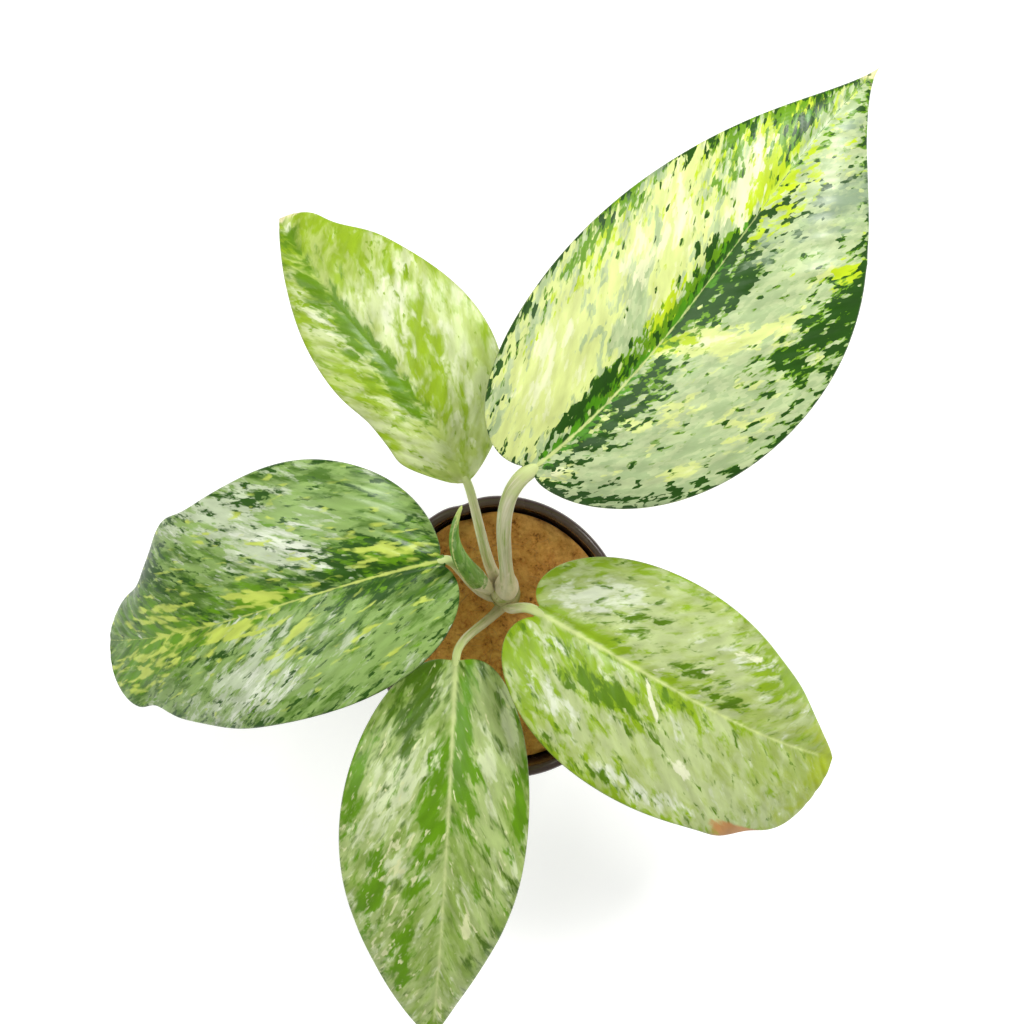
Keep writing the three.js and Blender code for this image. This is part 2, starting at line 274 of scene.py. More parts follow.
def add_node(
    tree: bpy.types.NodeTree, kind: str, inputs: dict[str | int, Any] | None = None, **settings: Any
) -> Node:
    """Adds a node with its settings and links.

    Args:
        tree: The material's node tree.
        kind: The node's type name after ShaderNode.
        inputs: Value, node or socket for each input in use, by its name or its place.
        settings: The node's own settings.

    Returns:
        The new node. Given as an input it stands for its first output in use.
    """
    node = tree.nodes.new("ShaderNode" + kind)
    for name, value in settings.items():
        setattr(node, name, value)
    live = [socket for socket in node.inputs if socket.enabled]
    for key, value in (inputs or {}).items():
        socket = live[key] if isinstance(key, int) else next(s for s in live if s.name == key)
        if isinstance(value, Node):
            value = next(output for output in value.outputs if output.enabled)
        if isinstance(value, bpy.types.NodeSocket):
            tree.links.new(value, socket)
        else:
            socket.default_value = value
    return node


def new_material(name: str) -> tuple[Material, AddNode]:
    """Starts a material.

    Args:
        name: The material's name.

    Returns:
        The material with an empty node tree, and the call that adds nodes to it.
    """
    material = bpy.data.materials.new(name)
    material.use_nodes = True
    material.node_tree.nodes.clear()
    return material, partial(add_node, material.node_tree)


class Near(Enum):
    """The lines of a leaf or stalk that a marking can gather along."""

    RIB = "rib"
    MARGIN = "margin"
    BASE = "base"
    TIP = "tip"


@dataclass(frozen=True)
class Spot:
    """A place on a leaf with more or less of a marking, drawn out along the side veins.

    The place is its distance from the leaf's base along the midrib, and from the midrib, which
    is positive to the left. Width is across the side veins and length is along them.
    """

    along: float
    across: float
    width: float
    length: float
    amount: float


@dataclass(frozen=True)
class Marking:
    """One colour of a living surface and where it covers the colours before it.

    At a level of 0 it covers half the surface, at -0.2 next to nothing and at 0.2 nearly all.
    Each line in near adds its amount at the line, and dies away over its reach. Side adds to
    the left and takes from the right, cloud adds by the leaf's large soft variation, and soft
    is the width of the marking's edge. Grain is the size of its flecks across and along.
    """

    colour: str
    level: float
    near: tuple[tuple[Near, float, float], ...] = ()
    side: float = 0.0
    cloud: float = 0.0
    soft: float = 0.02
    grain: Pair = (2.2, 7.0)
    detail: float = 4.0
    seed: float = 0.0
    spots: tuple[Spot, ...] = ()


@dataclass(frozen=True)
class Ground:
    """The nodes that every marking of a skin reads.

    Attributes:
        wander: The place on the midrib of the side vein here, and the distance across.
        stepped: The same place, drawn towards the middle of its cell.
        lines: The distance from each line of the leaf.
        side: 1 on the leaf's left and -1 on its right.
        cloud: The leaf's large soft variation.
    """

    wander: Node
    stepped: Node
    lines: dict[Near, Any]
    side: Node
    cloud: Node


@dataclass(frozen=True)
class LivingFinish:
    """The skin of a leaf or stalk: waxy, with its markings grown along the veins.

    The wax gives a broad soft sheen over fine ribs, and the flecks with stepped edges, cell by
    cell, give the marbled look of a variegated leaf.

    Attributes:
        base: Colour under all markings.
        markings: Markings in the order in which they cover one another.
        shade: Darkest and lightest factor of the slow change in tone.
        shade_grain: Sizes of that change, across and along the veins.
        roughness: Lowest and highest roughness of the wax.
        gloss: Strength of the wax's mirror, 0.5 for plain varnish.
        coat: Weight of the wet-looking top layer.
        coat_roughness: Roughness of that layer.
        streaks: Width, length and height of the fine ribbing along the veins.
        pores: Size and height of the finest relief, coarser than life so that it shows.
        cloud_grain: Sizes of the large soft variation, across and along the veins.
        cell: Sizes of the cells that give the markings their stepped edges.
        jag: How closely the markings keep to the cells.
        vein_spacing: Distance between side veins on one side.
        vein_lean: How far a side vein runs forward for each millimetre out, left and right.
        vein_curve: How much that grows with each millimetre.
    """

    FLECK_ROUGHNESS = 0.62
    FLECK_WANDER = 0.4
    SIDE_CHANGE = 0.15
    SHADE_SEED = 9.0

    base: str
    markings: tuple[Marking, ...]
    shade: Pair = (0.82, 1.14)
    shade_grain: Pair = (4.5, 10.0)
    roughness: Pair = (0.3, 0.46)
    gloss: float = 0.32
    coat: float = 0.08
    coat_roughness: float = 0.22
    streaks: Point = (1.3, 9.0, 0.05)
    pores: Pair = (0.45, 0.012)
    cloud_grain: Pair = (14.0, 22.0)
    cell: Pair = (0.9, 1.7)
    jag: float = 0.3
    vein_spacing: float = 7.0
    vein_lean: Pair = (0.9, 0.9)
    vein_curve: float = 0.004

    def vein_place(self, along: float, across: float) -> float:
        """Returns where on the midrib the side vein through a point of the leaf starts."""
        lean = self.vein_lean[0] if across > 0 else self.vein_lean[1]
        return along - abs(across) * (lean + self.vein_curve * abs(across))

    def underside(
        self, pale: str = "a9bf92", share: float = 0.55, blur: float = 0.04, matt: Pair = (0.5, 0.65)
    ) -> LivingFinish:
        """Returns the same skin as it looks from beneath: paler, blurred and matt.

        Args:
            pale: The colour of the underside.
            share: How much of it covers the skin's own colours.
            blur: How much softer the markings are.
            matt: Lowest and highest roughness of the underside.

        Returns:
            The finish of the underside.
        """
        markings = tuple(
            replace(
                marking, colour=blend(marking.colour, pale, share), soft=marking.soft + blur
            ) for marking in self.markings
        )
        base = blend(self.base, pale, share)
        return replace(self, base=base, markings=markings, roughness=matt, coat=0.0)

    def _sheared(self, sizes: Pair) -> Pair:
        """Turns true sizes across and along a vein into the sizes that the chart needs."""
        shear = math.hypot(1.0, sum(self.vein_lean) / 2)
        return sizes[0] * shear, sizes[1] / shear

    def _scaled(self, add: AddNode, place: Node, sizes: Pair, seed: float = 0.0) -> Node:
        """Adds the node that turns lengths into steps of a pattern.

        Args:
            add: Adds a node to the material.
            place: The place in millimetres.
            sizes: The pattern's sizes across and along the veins, in millimetres.
            seed: Where in the pattern the leaf's base lies.

        Returns:
            The node whose output is the place in the pattern.
        """
        across, along = self._sheared(sizes)
        shift = tuple(step * seed for step in SEED_STEP)
        steps = {0: place, 1: (1 / across, 1 / along, 0.0), 2: shift}
        return add("VectorMath", steps, operation="MULTIPLY_ADD")

    def _ground(self, add: AddNode) -> Ground:
        """Adds the nodes that say where on the leaf or stalk a point lies.

        Args:
            add: Adds a node to the material.

        Returns:
            The nodes that every marking reads.
        """
        chart = add("SeparateXYZ", {0: add("UVMap", uv_map=GRAIN)})
        edges = add("SeparateXYZ", {0: add("UVMap", uv_map=EDGES)})
        along, across = chart.outputs[0], chart.outputs[1]
        rib = add("Math", {0: across}, operation="ABSOLUTE")
        left = add("Math", {0: across, 1: 0.0}, operation="GREATER_THAN")
        leans = {"Factor": left, "A": self.vein_lean[1], "B": self.vein_lean[0]}
        lean = add("Mix", leans, data_type="FLOAT")
        lean = add("Math", {0: rib, 1: self.vein_curve, 2: lean}, operation="MULTIPLY_ADD")
        forward = add("Math", {0: rib, 1: lean}, operation="MULTIPLY")
        foot = add("Math", {0: along, 1: forward}, operation="SUBTRACT")
        wander = add("CombineXYZ", {0: foot, 1: across})
        steps = {"Vector": self._scaled(add, wander, self.cell), "Scale": 1.0}
        cells = add("TexVoronoi", steps, voronoi_dimensions="2D")
        size = (*self._sheared(self.cell), 0.0)
        centre = add("VectorMath", {0: cells.outputs["Position"], 1: size}, operation="MULTIPLY")
        stepped = add("Mix", {"Factor": self.jag, "A": wander, "B": centre}, data_type="VECTOR")
        patches = self._scaled(add, wander, self.cloud_grain)
        cloud = add("TexNoise", {"Vector": patches, "Scale": 1.0, "Detail": 2.0})
        side = add("Math", {0: across, 1: self.SIDE_CHANGE}, operation="MULTIPLY")
        side = add("Math", {0: side}, operation="TANH")
        margin, tip = edges.outputs[0], edges.outputs[1]
        lines = {Near.RIB: rib, Near.MARGIN: margin, Near.BASE: along, Near.TIP: tip}
        return Ground(wander, stepped, lines, side, cloud)

    def _share(self, add: AddNode, marking: Marking, ground: Ground) -> Node:
        """Adds the nodes that say how much of a marking shows.

        Args:
            add: Adds a node to the material.
            marking: The marking.
            ground: Where on the leaf or stalk a point lies.

        Returns:
            The node whose value is the share.
        """
        flecks = {
            "Vector": self._scaled(add, ground.stepped, marking.grain, marking.seed), "Scale": 1.0,
            "Detail": marking.detail, "Roughness": self.FLECK_ROUGHNESS, "Distortion": self.FLECK_WANDER
        }
        level = {0: add("TexNoise", flecks), 1: marking.level - NOISE_MIDDLE}
        total = add("Math", level, operation="ADD")
        terms: list[tuple[Any, float]] = []
        for line, amount, reach in marking.near:
            fall = add("Math", {0: ground.lines[line], 1: -1 / reach}, operation="MULTIPLY")
            terms.append((add("Math", {0: fall}, operation="EXPONENT"), amount))
        for spot in marking.spots:
            foot = self.vein_place(spot.along, spot.across)
            size = (1 / spot.width, 1 / spot.length, 0.0)
            shift = (-foot / spot.width, -spot.across / spot.length, 0.0)
            away = add("VectorMath", {0: ground.wander, 1: size, 2: shift}, operation="MULTIPLY_ADD")
            square = add("VectorMath", {0: away, 1: away}, operation="DOT_PRODUCT")
            fall = add("Math", {0: square, 1: -1.0}, operation="MULTIPLY")
            terms.append((add("Math", {0: fall}, operation="EXPONENT"), spot.amount))
        if marking.side:
            terms.append((ground.side, marking.side))
        if marking.cloud:
            swing = add("Math", {0: ground.cloud, 1: NOISE_MIDDLE}, operation="SUBTRACT")
            terms.append((swing, marking.cloud))
        for value, amount in terms:
            total = add("Math", {0: value, 1: amount, 2: total}, operation="MULTIPLY_ADD")
        edge = {0: total, 1: -marking.soft, 2: marking.soft}
        return add("MapRange", edge, interpolation_type="SMOOTHSTEP")

    def build(self, name: str) -> Material:
        """Makes the material.

        Args:
            name: The material's name.

        Returns:
            The material, which reads the piece's own two charts.
        """
        material, add = new_material(name)
        ground = self._ground(add)
        colour: Any = linear(self.base)
        for marking in self.markings:
            share = self._share(add, marking, ground)
            layers = {"Factor": share, "A": colour, "B": linear(marking.colour)}
            colour = add("Mix", layers, data_type="RGBA")
        place = self._scaled(add, ground.wander, self.shade_grain, self.SHADE_SEED)
        shade = add("TexNoise", {"Vector": place, "Scale": 1.0, "Detail": 3.0})
        depth = add("MapRange", dict(enumerate((shade, *NOISE_RANGE, *self.shade))))
        place = self._scaled(add, ground.wander, self.streaks[:2])
        ribs = add("TexNoise", {"Vector": place, "Scale": 1.0, "Detail": 3.0})
        roughness = add("MapRange", dict(enumerate((ribs, *NOISE_RANGE, *self.roughness))))
        ribbed = add("Bump", {"Strength": 1.0, "Distance": self.streaks[2] * MM, "Height": ribs})
        place = self._scaled(add, ground.wander, (self.pores[0], self.pores[0]))
        relief = {
            "Strength": 1.0, "Distance": self.pores[1] * MM,
            "Height": add("TexNoise", {"Vector": place, "Scale": 1.0}), "Normal": ribbed
        }
        look = {
            "Base Color": add("HueSaturation", {"Color": colour, "Value": depth}), "Roughness": roughness,
            "Normal": add("Bump", relief), "Specular IOR Level": self.gloss, "Coat Weight": self.coat,
            "Coat Roughness": self.coat_roughness
        }
        add("OutputMaterial", {"Surface": add("BsdfPrincipled", look)})
        return material


class GrownPart:
    """A piece of the plant: a grid wrapped round it, x along it and v round it, both 0 to 1."""

    rows: int
    columns: int

    def place(self, x: float, v: float) -> Vector:
        """Returns the point of the surface for a point of the grid."""
        raise NotImplementedError

    def chart(self, x: float, v: float) -> Chart:
        """Returns the lengths along and across, and those to the margin and the tip."""
        raise NotImplementedError

    def wrap(self, name: str, slot: str, skins: list[Material]) -> None:
        """Makes the piece and dresses it.

        Args:
            name: The node that it stands for.
            slot: The record's slot that it takes its finish from.
            skins: Its skin, or the skins of its upper and its lower face.
        """
        mesh = mapped_grid(self.rows, self.columns, self.place, self.chart, len(skins) > 1)
        finish_piece(mesh, name + "_skin", skins, name)


@dataclass(frozen=True)
class HalfForm:
    """Outline and wave of one side of a blade."""

    half: float
    widest: float
    base: float
    tip: float
    wave: Point
    ripples: tuple[Point, ...] = ()

    def width(self, u: float) -> float:
        """Returns the half-width without the rib, u of the way to the tip.

        Args:
            u: The share of the midrib.

        Returns:
            The half-width.
        """
        x = u ** (math.log(0.5) / math.log(self.widest)) if u > 0 else 0.0
        power = lerp(self.base, self.tip, max(0.0, 2 * x - 1))
        width = self.half * max(0.0, math.sin(math.pi * x)) ** power
        for place, height, spread in self.ripples:
            width *= 1 + height * bell(u, place, spread)
        return width

    def rise(self, u: float) -> float:
        """Returns how far the wave lifts the margin, u of the way to the tip."""
        height, number, shift = self.wave
        return height * math.sin(TURN * (number * u + shift))


@dataclass(frozen=True)
class Station:
    """What is the same across one row of a blade."""

    point: Vector
    along: Vector
    left: Vector
    above: Vector
    rib: float
    widths: Pair
    rises: Pair
    sweep: float


@dataclass(frozen=True)
class Crease:
    """A fold of a blade along a side vein, with its height, width and side."""

    place: float
    height: float
    width: float
    side: int


@dataclass(eq=False)
class LeafBlade(GrownPart):
    """An open leaf blade on its midrib, with sunken veins above and a keel beneath."""

    name: str
    midrib: tuple[Point, ...]
    rib_width: float
    fold: float
    sweep: Pair
    left: HalfForm
    right: HalfForm
    upper: LivingFinish
    seed: float
    creases: tuple[Crease, ...] = ()
    crease_start: Pair = (2.0, 12.0)
    quilt: float = 0.2
    pillow: float = 0.6
    vein_width: float = 0.9
    vein_end: Pair = (0.72, 0.98)
    billow: float = 0.5
    billow_size: Pair = (16.0, 12.0)
    billow_start: Pair = (0.1, 0.6)
    thickness: float = 0.8
    keel: float = 1.5
    channel: float = 0.7
    channel_spread: float = 1.4
    cord: float = 0.35
    cord_spread: float = 0.6
    arch: float = 0.3
    tip_rib: float = 0.4
    tip_cord: float = 0.3
    inner_round: float = 1.0
    edge_round: float = 0.7
    wave_ease: float = 0.3
    sweep_power: float = 0.6
    rows: int = 170
    columns: int = 176
    curve: Curve = field(init=False)

    def __post_init__(self) -> None:
        """Measures the midrib."""
        self.curve = Curve(self.midrib)

    @staticmethod
    def _share(x: float) -> float:
        """Turns the way along the grid into a share of the midrib, closer at both ends."""
        return lerp(x, (1 - math.cos(math.pi * x)) / 2, GRID_EASE)

    @lru_cache(maxsize=None)
    def _station(self, x: float) -> Station:
        """Returns the row at x of the grid.

        Args:
            x: The way along the grid, from 0 to 1.

        Returns:
            What is the same across the row.
        """
        u = self._share(x)
        along = self.curve.tangent(u)
        left = UP.cross(along).normalized()
        floor = self.rib_width / 2 * (1 - u)
        return Station(
            point=self.curve.point(u), along=along, left=left, above=along.cross(left),
            rib=self.rib_width / 2 * lerp(1, self.tip_rib, u),
            widths=(max(self.left.width(u), floor), max(self.right.width(u), floor)),
            rises=(self.left.rise(u), self.right.rise(u)),
            sweep=math.radians(lerp(*self.sweep, u**self.sweep_power))
        )

    @staticmethod
    def _across(v: float) -> tuple[float, bool]:
        """Turns the way round the blade into a share across it.

        Args:
            v: The way round, from 0 at the left margin over the top and back beneath.

        Returns:
            The share across, from 1 at the left margin to -1 at the right, and whether it is
            on the lower face.
        """
        beneath = v > 0.5
        share = 4 * v - 3 if beneath else 1 - 4 * v
        eased = lerp(abs(share), math.sin(math.pi / 2 * abs(share)), GRID_EASE)
        return math.copysign(eased, share), beneath

    def _plan(self, x: float, v: float) -> tuple[Station, float, float, float, float, bool]:
        """Works out where a grid point lies on the flat blade.

        Args:
            x: The way along the blade.
            v: The way round it.

        Returns:
            The row, its width there, the distance out from the midrib, the place along and
            across the flat blade, and whether the point is on the lower face.
        """
        station = self._station(x)
        across, beneath = self._across(v)
        width = station.widths[0] if across > 0 else station.widths[1]
        out = abs(across) * width
        swept = max(0.0, out - station.rib)
        along = self._share(x) * self.curve.length + swept * math.sin(station.sweep)
        aside = math.copysign(out - swept + swept * math.cos(station.sweep), across)
        return station, width, out, along, aside, beneath

    def _relief(self, along: float, aside: float, share: float, rib: float) -> float:
        """Returns the height of veins, pillows and creases over the plain blade.

        Args:
            along: Place along the flat blade.
            aside: Place across it, positive to the left.
            share: Distance from the midrib as a share of the width.
            rib: Half-width of the midrib.

        Returns:
            The height, which can be below 0.
        """
        spacing = self.upper.vein_spacing
        foot = self.upper.vein_place(along, aside)
        staggered = foot + (spacing / 2 if aside > 0 else 0.0)
        near = abs(staggered - spacing * round(staggered / spacing))
        fade = smooth(abs(aside), rib, 3 * rib) * (1 - smooth(share, *self.vein_end))
        veins = self.pillow * smooth(near, 0, spacing / 2) - bell(near, 0, self.vein_width)
        folds = sum(
            crease.height * bell(
                foot, crease.place, crease.width
            ) for crease in self.creases if crease.side * aside > 0
        )
        spot = Vector((along / self.billow_size[0], aside / self.billow_size[1], self.seed))
        billows = self.billow * noise.noise(spot) * smooth(share, *self.billow_start)
        return veins * self.quilt * fade + folds * smooth(abs(aside), *self.crease_start) + billows

    def place(self, x: float, v: float) -> Vector:
        """Returns the point of the blade's surface for a grid point.

        Args:
            x: The way along it, from 0 to 1.
            v: The way round it, from 0 to 1.

        Returns:
            The point.
        """
        station, width, out, along, aside, beneath = self._plan(x, v)
        rib = station.rib
        share = out / width if width > 0 else 0.0
        half = self.left.half if aside > 0 else self.right.half
        rise = station.rises[0] if aside > 0 else station.rises[1]
        easing = min(1.0, width / (self.wave_ease * half))
        lift = math.tan(math.radians(self.fold)) * (math.hypot(out, self.inner_round) - self.inner_round)
        lift += (rise * easing - self.arch * width) * share**2
        strength = rib * 2 / self.rib_width * min(1.0, width / rib - 1 + self.tip_cord)
        lift -= self.channel * strength * bell(out, 0, self.channel_spread * rib)
        lift += self.cord * strength * bell(out, 0, self.cord_spread * rib)
        grown = smooth(width, self.rib_width, 3 * self.rib_width)
        lift += self._relief(along, aside, share, rib) * grown
        depth = self.thickness * math.sqrt(min(1.0, max(0.0, width - out) / self.edge_round))
        lift -= (self.thickness - depth) / 2
        if beneath:
            lift -= depth + self.keel * strength * bell(out, 0, rib) * min(1.0, depth)
        forward = station.along * (max(0.0, out - rib) * math.sin(station.sweep))
        return station.point + station.left * aside + forward + station.above * lift

    def chart(self, x: float, v: float) -> Chart:
        """Returns the place along and across, and the distances to the margin and the tip."""
        _, width, out, along, aside, _ = self._plan(x, v)
        return along, aside, width - out, self.curve.length - along

    def build(self) -> None:
        """Makes the blade's piece, waxy above and matt beneath."""
        skins = [
            self.upper.build("waxy_leaf_top_" + self.name),
            self.upper.underside().build("matt_leaf_underside_" + self.name)
        ]
        self.wrap("blade_" + self.name, "leaf_" + self.name, skins)


@dataclass(eq=False)
class Petiole(GrownPart):
    """A leaf stalk from the cane to its blade, grooved above and widened at its foot."""

    blade: LeafBlade
    start: Point
    toward: Point
    handle: float
    radius: Pair
    sheath: float
    under_rib: Pair = (0.3, 1.3)
    channel: float = 0.16
    channel_spread: float = 40.0
    sheath_spread: float = 0.15
    unevenness: float = 0.06
    uneven_steps: float = 9.0
    sink: float = 2.5
    reach: float = 9.0
    dive: float = 1.6
    end_taper: float = 1.5
    rows: int = 90
    columns: int = 40
    curve: Curve = field(init=False)
    level: Vector = field(init=False)

    def __post_init__(self) -> None:
        """Draws the stalk's curve up to just under the start of the midrib."""
        along = self.blade.curve.tangent(0)
        self.level = UP.cross(along).normalized()
        above = along.cross(self.level)
        back, down = self.under_rib
        end = self.blade.curve.point(0) - above * down - along * back
        self.curve = Curve((self.start, self.toward, tuple(end - along * self.handle), tuple(end)))

    def _share(self, x: float) -> float:
        """Turns the way along the grid into a share of the stalk, past both of its ends."""
        return lerp(-self.sink / self.curve.length, 1 + self.reach / self.curve.length, x)

    def place(self, x: float, v: float) -> Vector:
        """Returns the point of the stalk's surface for a grid point.

        Args:
            x: The way along it, from 0 to 1.
            v: The way round it, from 0 to 1.

        Returns:
            The point.
        """
        u = self._share(x)
        inside = min(1.0, max(0.0, u))
        past = min(1.0, max(0.0, u - 1) * self.curve.length / self.reach)
        angle = TURN * (v - 0.25)
        from_groove = math.degrees(math.acos(min(1.0, max(-1.0, math.sin(angle)))))
        radius = lerp(*self.radius, inside) + self.sheath * bell(inside, 0, self.sheath_spread)
        radius *= 1 - self.channel * bell(from_groove, 0, self.channel_spread)
        spot = Vector((u * self.uneven_steps, math.cos(angle), math.sin(angle)))
        radius = (radius + self.unevenness * noise.noise(spot)) * (1 - past**self.end_taper)
        return self.curve.beside(u, self.level, angle, radius, self.dive * past**2)

    def chart(self, x: float, v: float) -> Chart:
        """Returns the place along, round from the groove, and the distances to the two ends."""
        along = self._share(x) * self.curve.length
        return along, (v - 0.5) * TURN * self.radius[1], FAR, self.curve.length - along

    def build(self) -> None:
        """Makes the stalk's piece."""
        skin = STALK_SKIN.build("satin_stalk_skin_" + self.blade.name)
        self.wrap("petiole_" + self.blade.name, "petiole", [skin])


@dataclass(eq=False)
class Cane(GrownPart):
    """The short cane with the ring scars of old leaves."""

    path: tuple[Point, ...] = ((0.5, 12, 50), (0.5, 14, 70), (0.4, 16.5, 90), (0.3, 19, 106))
    radius: Pair = (6.0, 5.2)
    level: Point = (0.0, 1.0, 0.0)
    scars: Point = (0.5, 0.64, 0.78)
    scar_height: float = 0.35
    scar_spread: float = 0.03
    dome: float = 0.06
    rows: int = 120
    columns: int = 48
    curve: Curve = field(init=False)

    def __post_init__(self) -> None:
        """Draws the cane's middle line."""
        self.curve = Curve(self.path)

    def place(self, x: float, v: float) -> Vector:
        """Returns the point of the cane's surface for a grid point.

        Args:
            x: The way along it, from 0 to 1.
            v: The way round it, from 0 to 1.

        Returns:
            The point.
        """
        scars = max(bell(x, scar, self.scar_spread) for scar in self.scars)
        radius = lerp(*self.radius, x) + self.scar_height * scars
        radius *= math.sqrt(max(0.0, 1 - max(0.0, (x - 1 + self.dome) / self.dome) ** 2))
        return self.curve.beside(x, Vector(self.level), TURN * v, radius)

    def chart(self, x: float, v: float) -> Chart:
        """Returns the place along and round, and the distances to a margin and the top."""
        along = x * self.curve.length
        return along, (v - 0.5) * TURN * self.radius[1], FAR, self.curve.length - along

    def build(self) -> None:
        """Makes the cane's piece."""
        self.wrap("stem", "cane", [CANE_SKIN.build("green_cane_bark")])


@dataclass(eq=False)
class RolledLeaf(GrownPart):
    """The youngest leaf, rolled up tight, with the free edge of its roll."""

    path: tuple[Point, ...] = ((-5.6, 19, 104), (-12, 26, 146), (-20.5, 35.5, 176), (-12.7, 49.1, 196))
    foot_radius: float = 2.4
    middle_radius: float = 3.9
    middle: float = 0.3
    tip_radius: float = 0.5
    tip_cut: Point = (0.35, 0.985, 1.0)
    taper: float = 1.4
    roll_step: float = 0.16
    roll_run: Pair = (0.04, 0.95)
    roll_edge: Pair = (0.965, 1.0)
    facing: Point = (-1.0, 0.4, 0.0)
    rows: int = 150
    columns: int = 64
    curve: Curve = field(init=False)

    def __post_init__(self) -> None:
        """Draws the roll's middle line."""
        self.curve = Curve(self.path)

    def _radius(self, u: float) -> float:
        """Returns the roll's radius, u of the way to its tip.

        Args:
            u: The share of the roll's length.

        Returns:
            The radius.
        """
        swell = lerp(self.foot_radius, self.middle_radius, smooth(u, 0, self.middle))
        past = max(0.0, (u - self.middle) / (1 - self.middle))
        return lerp(swell, self.tip_radius, past**self.taper)

    def place(self, x: float, v: float) -> Vector:
        """Returns the point of the roll's surface for a grid point.

        Args:
            x: The way along it, from 0 to 1.
            v: The way round it, from 0 to 1.

        Returns:
            The point.
        """
        step = self.roll_step * smooth(v, *self.roll_run) * (1 - smooth(v, *self.roll_edge))
        least, start, end = self.tip_cut
        radius = self._radius(x) * (1 - step) * lerp(1, least, smooth(x, start, end))
        level = UP.cross(Vector(self.facing)).normalized()
        return self.curve.beside(x, level, TURN * v, radius)

    def chart(self, x: float, v: float) -> Chart:
        """Returns the place along and round, and the distances to the free edge and the tip."""
        around = TURN * self._radius(x) * v
        return x * self.curve.length, around, around, self.curve.length * (1 - x)

    def build(self) -> None:
        """Makes the rolled leaf's piece."""
        self.wrap("new_leaf", "new_leaf", [ROLL_SKIN.build("young_leaf_skin")])


@dataclass(frozen=True)
class PotForm:
    """Sizes of the nursery pot, which the coir inside it shares."""

    height: float = 90.0
    base_radius: float = 37.0
    rim_radius: float = 51.0
    wall: float = 1.3
    floor: float = 1.8
    foot_round: float = 1.5
    lip_width: float = 3.8
    lip_drop: float = 9.0
    crown: float = 1.8
    oval: float = 2.65
    oval_turn: float = 102.0
    dent_depth: float = 1.2
    dent_turn: float = 107.0
    dent_spread: float = 5.0

    def wall_radius(self, z: float) -> float:
        """Returns the outer radius of the wall at a height."""
        top = self.rim_radius - self.lip_width + self.wall
        return lerp(self.base_radius, top, z / self.height)

    def squeezed(self, point: Vector) -> Vector:
        """Presses a point of the round pot to its oval and its dented rim.

        Args:
            point: The point, in millimetres.

        Returns:
            The moved point.
        """
        turn = math.degrees(math.atan2(point.y, point.x))
        share = smooth(point.z, 0, self.height) / self.rim_radius
        oval = self.oval * math.cos(math.radians(2 * (turn - self.oval_turn)))
        dent = self.dent_depth * bell(turn, self.dent_turn, self.dent_spread)
        factor = 1 + share * (oval - dent)
        return Vector((point.x * factor, point.y * factor, point.z))


@dataclass(frozen=True)
class PotPlastic:
    """Injection-moulded polypropylene, dark red-brown with a soft sheen.

    The shine on the lip and the faint orange-peel of the mould give it away as thin plastic,
    and dust in patches as a pot that has stood in a nursery.
    """

    light: str = "5b4038"
    dark: str = "3a2a25"
    dust: str = "7a6a5c"
    dust_range: Quad = (0.58, 0.8, 0.0, 0.35)
    patch: float = 16.6667
    roughness: Pair = (0.2, 0.36)
    coat: Pair = (0.5, 0.14)
    ior: float = 1.49
    peel: float = 0.9
    peel_height: float = 0.02

    def build(self) -> Material:
        """Makes the material.

        Returns:
            The material, in Object coordinates.
        """
        material, add = new_material("moulded_polypropylene")
        place = add("TexCoord").outputs["Object"]
        peel = add("TexNoise", {"Vector": place, "Scale": 1 / (self.peel * MM), "Detail": 2.0})
        cloud = add("TexNoise", {"Vector": place, "Scale": 1 / (self.patch * MM), "Detail": 4.0})
        tones = {"Factor": cloud, "A": linear(self.dark), "B": linear(self.light)}
        tone = add("Mix", tones, data_type="RGBA")
        dusty = add("MapRange", dict(enumerate((cloud, *self.dust_range))))
        tone = add("Mix", {"Factor": dusty, "A": tone, "B": linear(self.dust)}, data_type="RGBA")
        bump = {"Strength": 0.5, "Distance": self.peel_height * MM, "Height": peel}
        look = {
            "Base Color": tone,
            "Roughness": add("MapRange", {0: cloud, 3: self.roughness[0], 4: self.roughness[1]}),
            "Normal": add("Bump", bump), "IOR": self.ior, "Coat Weight": self.coat[0],
            "Coat Roughness": self.coat[1]
        }
        add("OutputMaterial", {"Surface": add("BsdfPrincipled", look)})
        return material


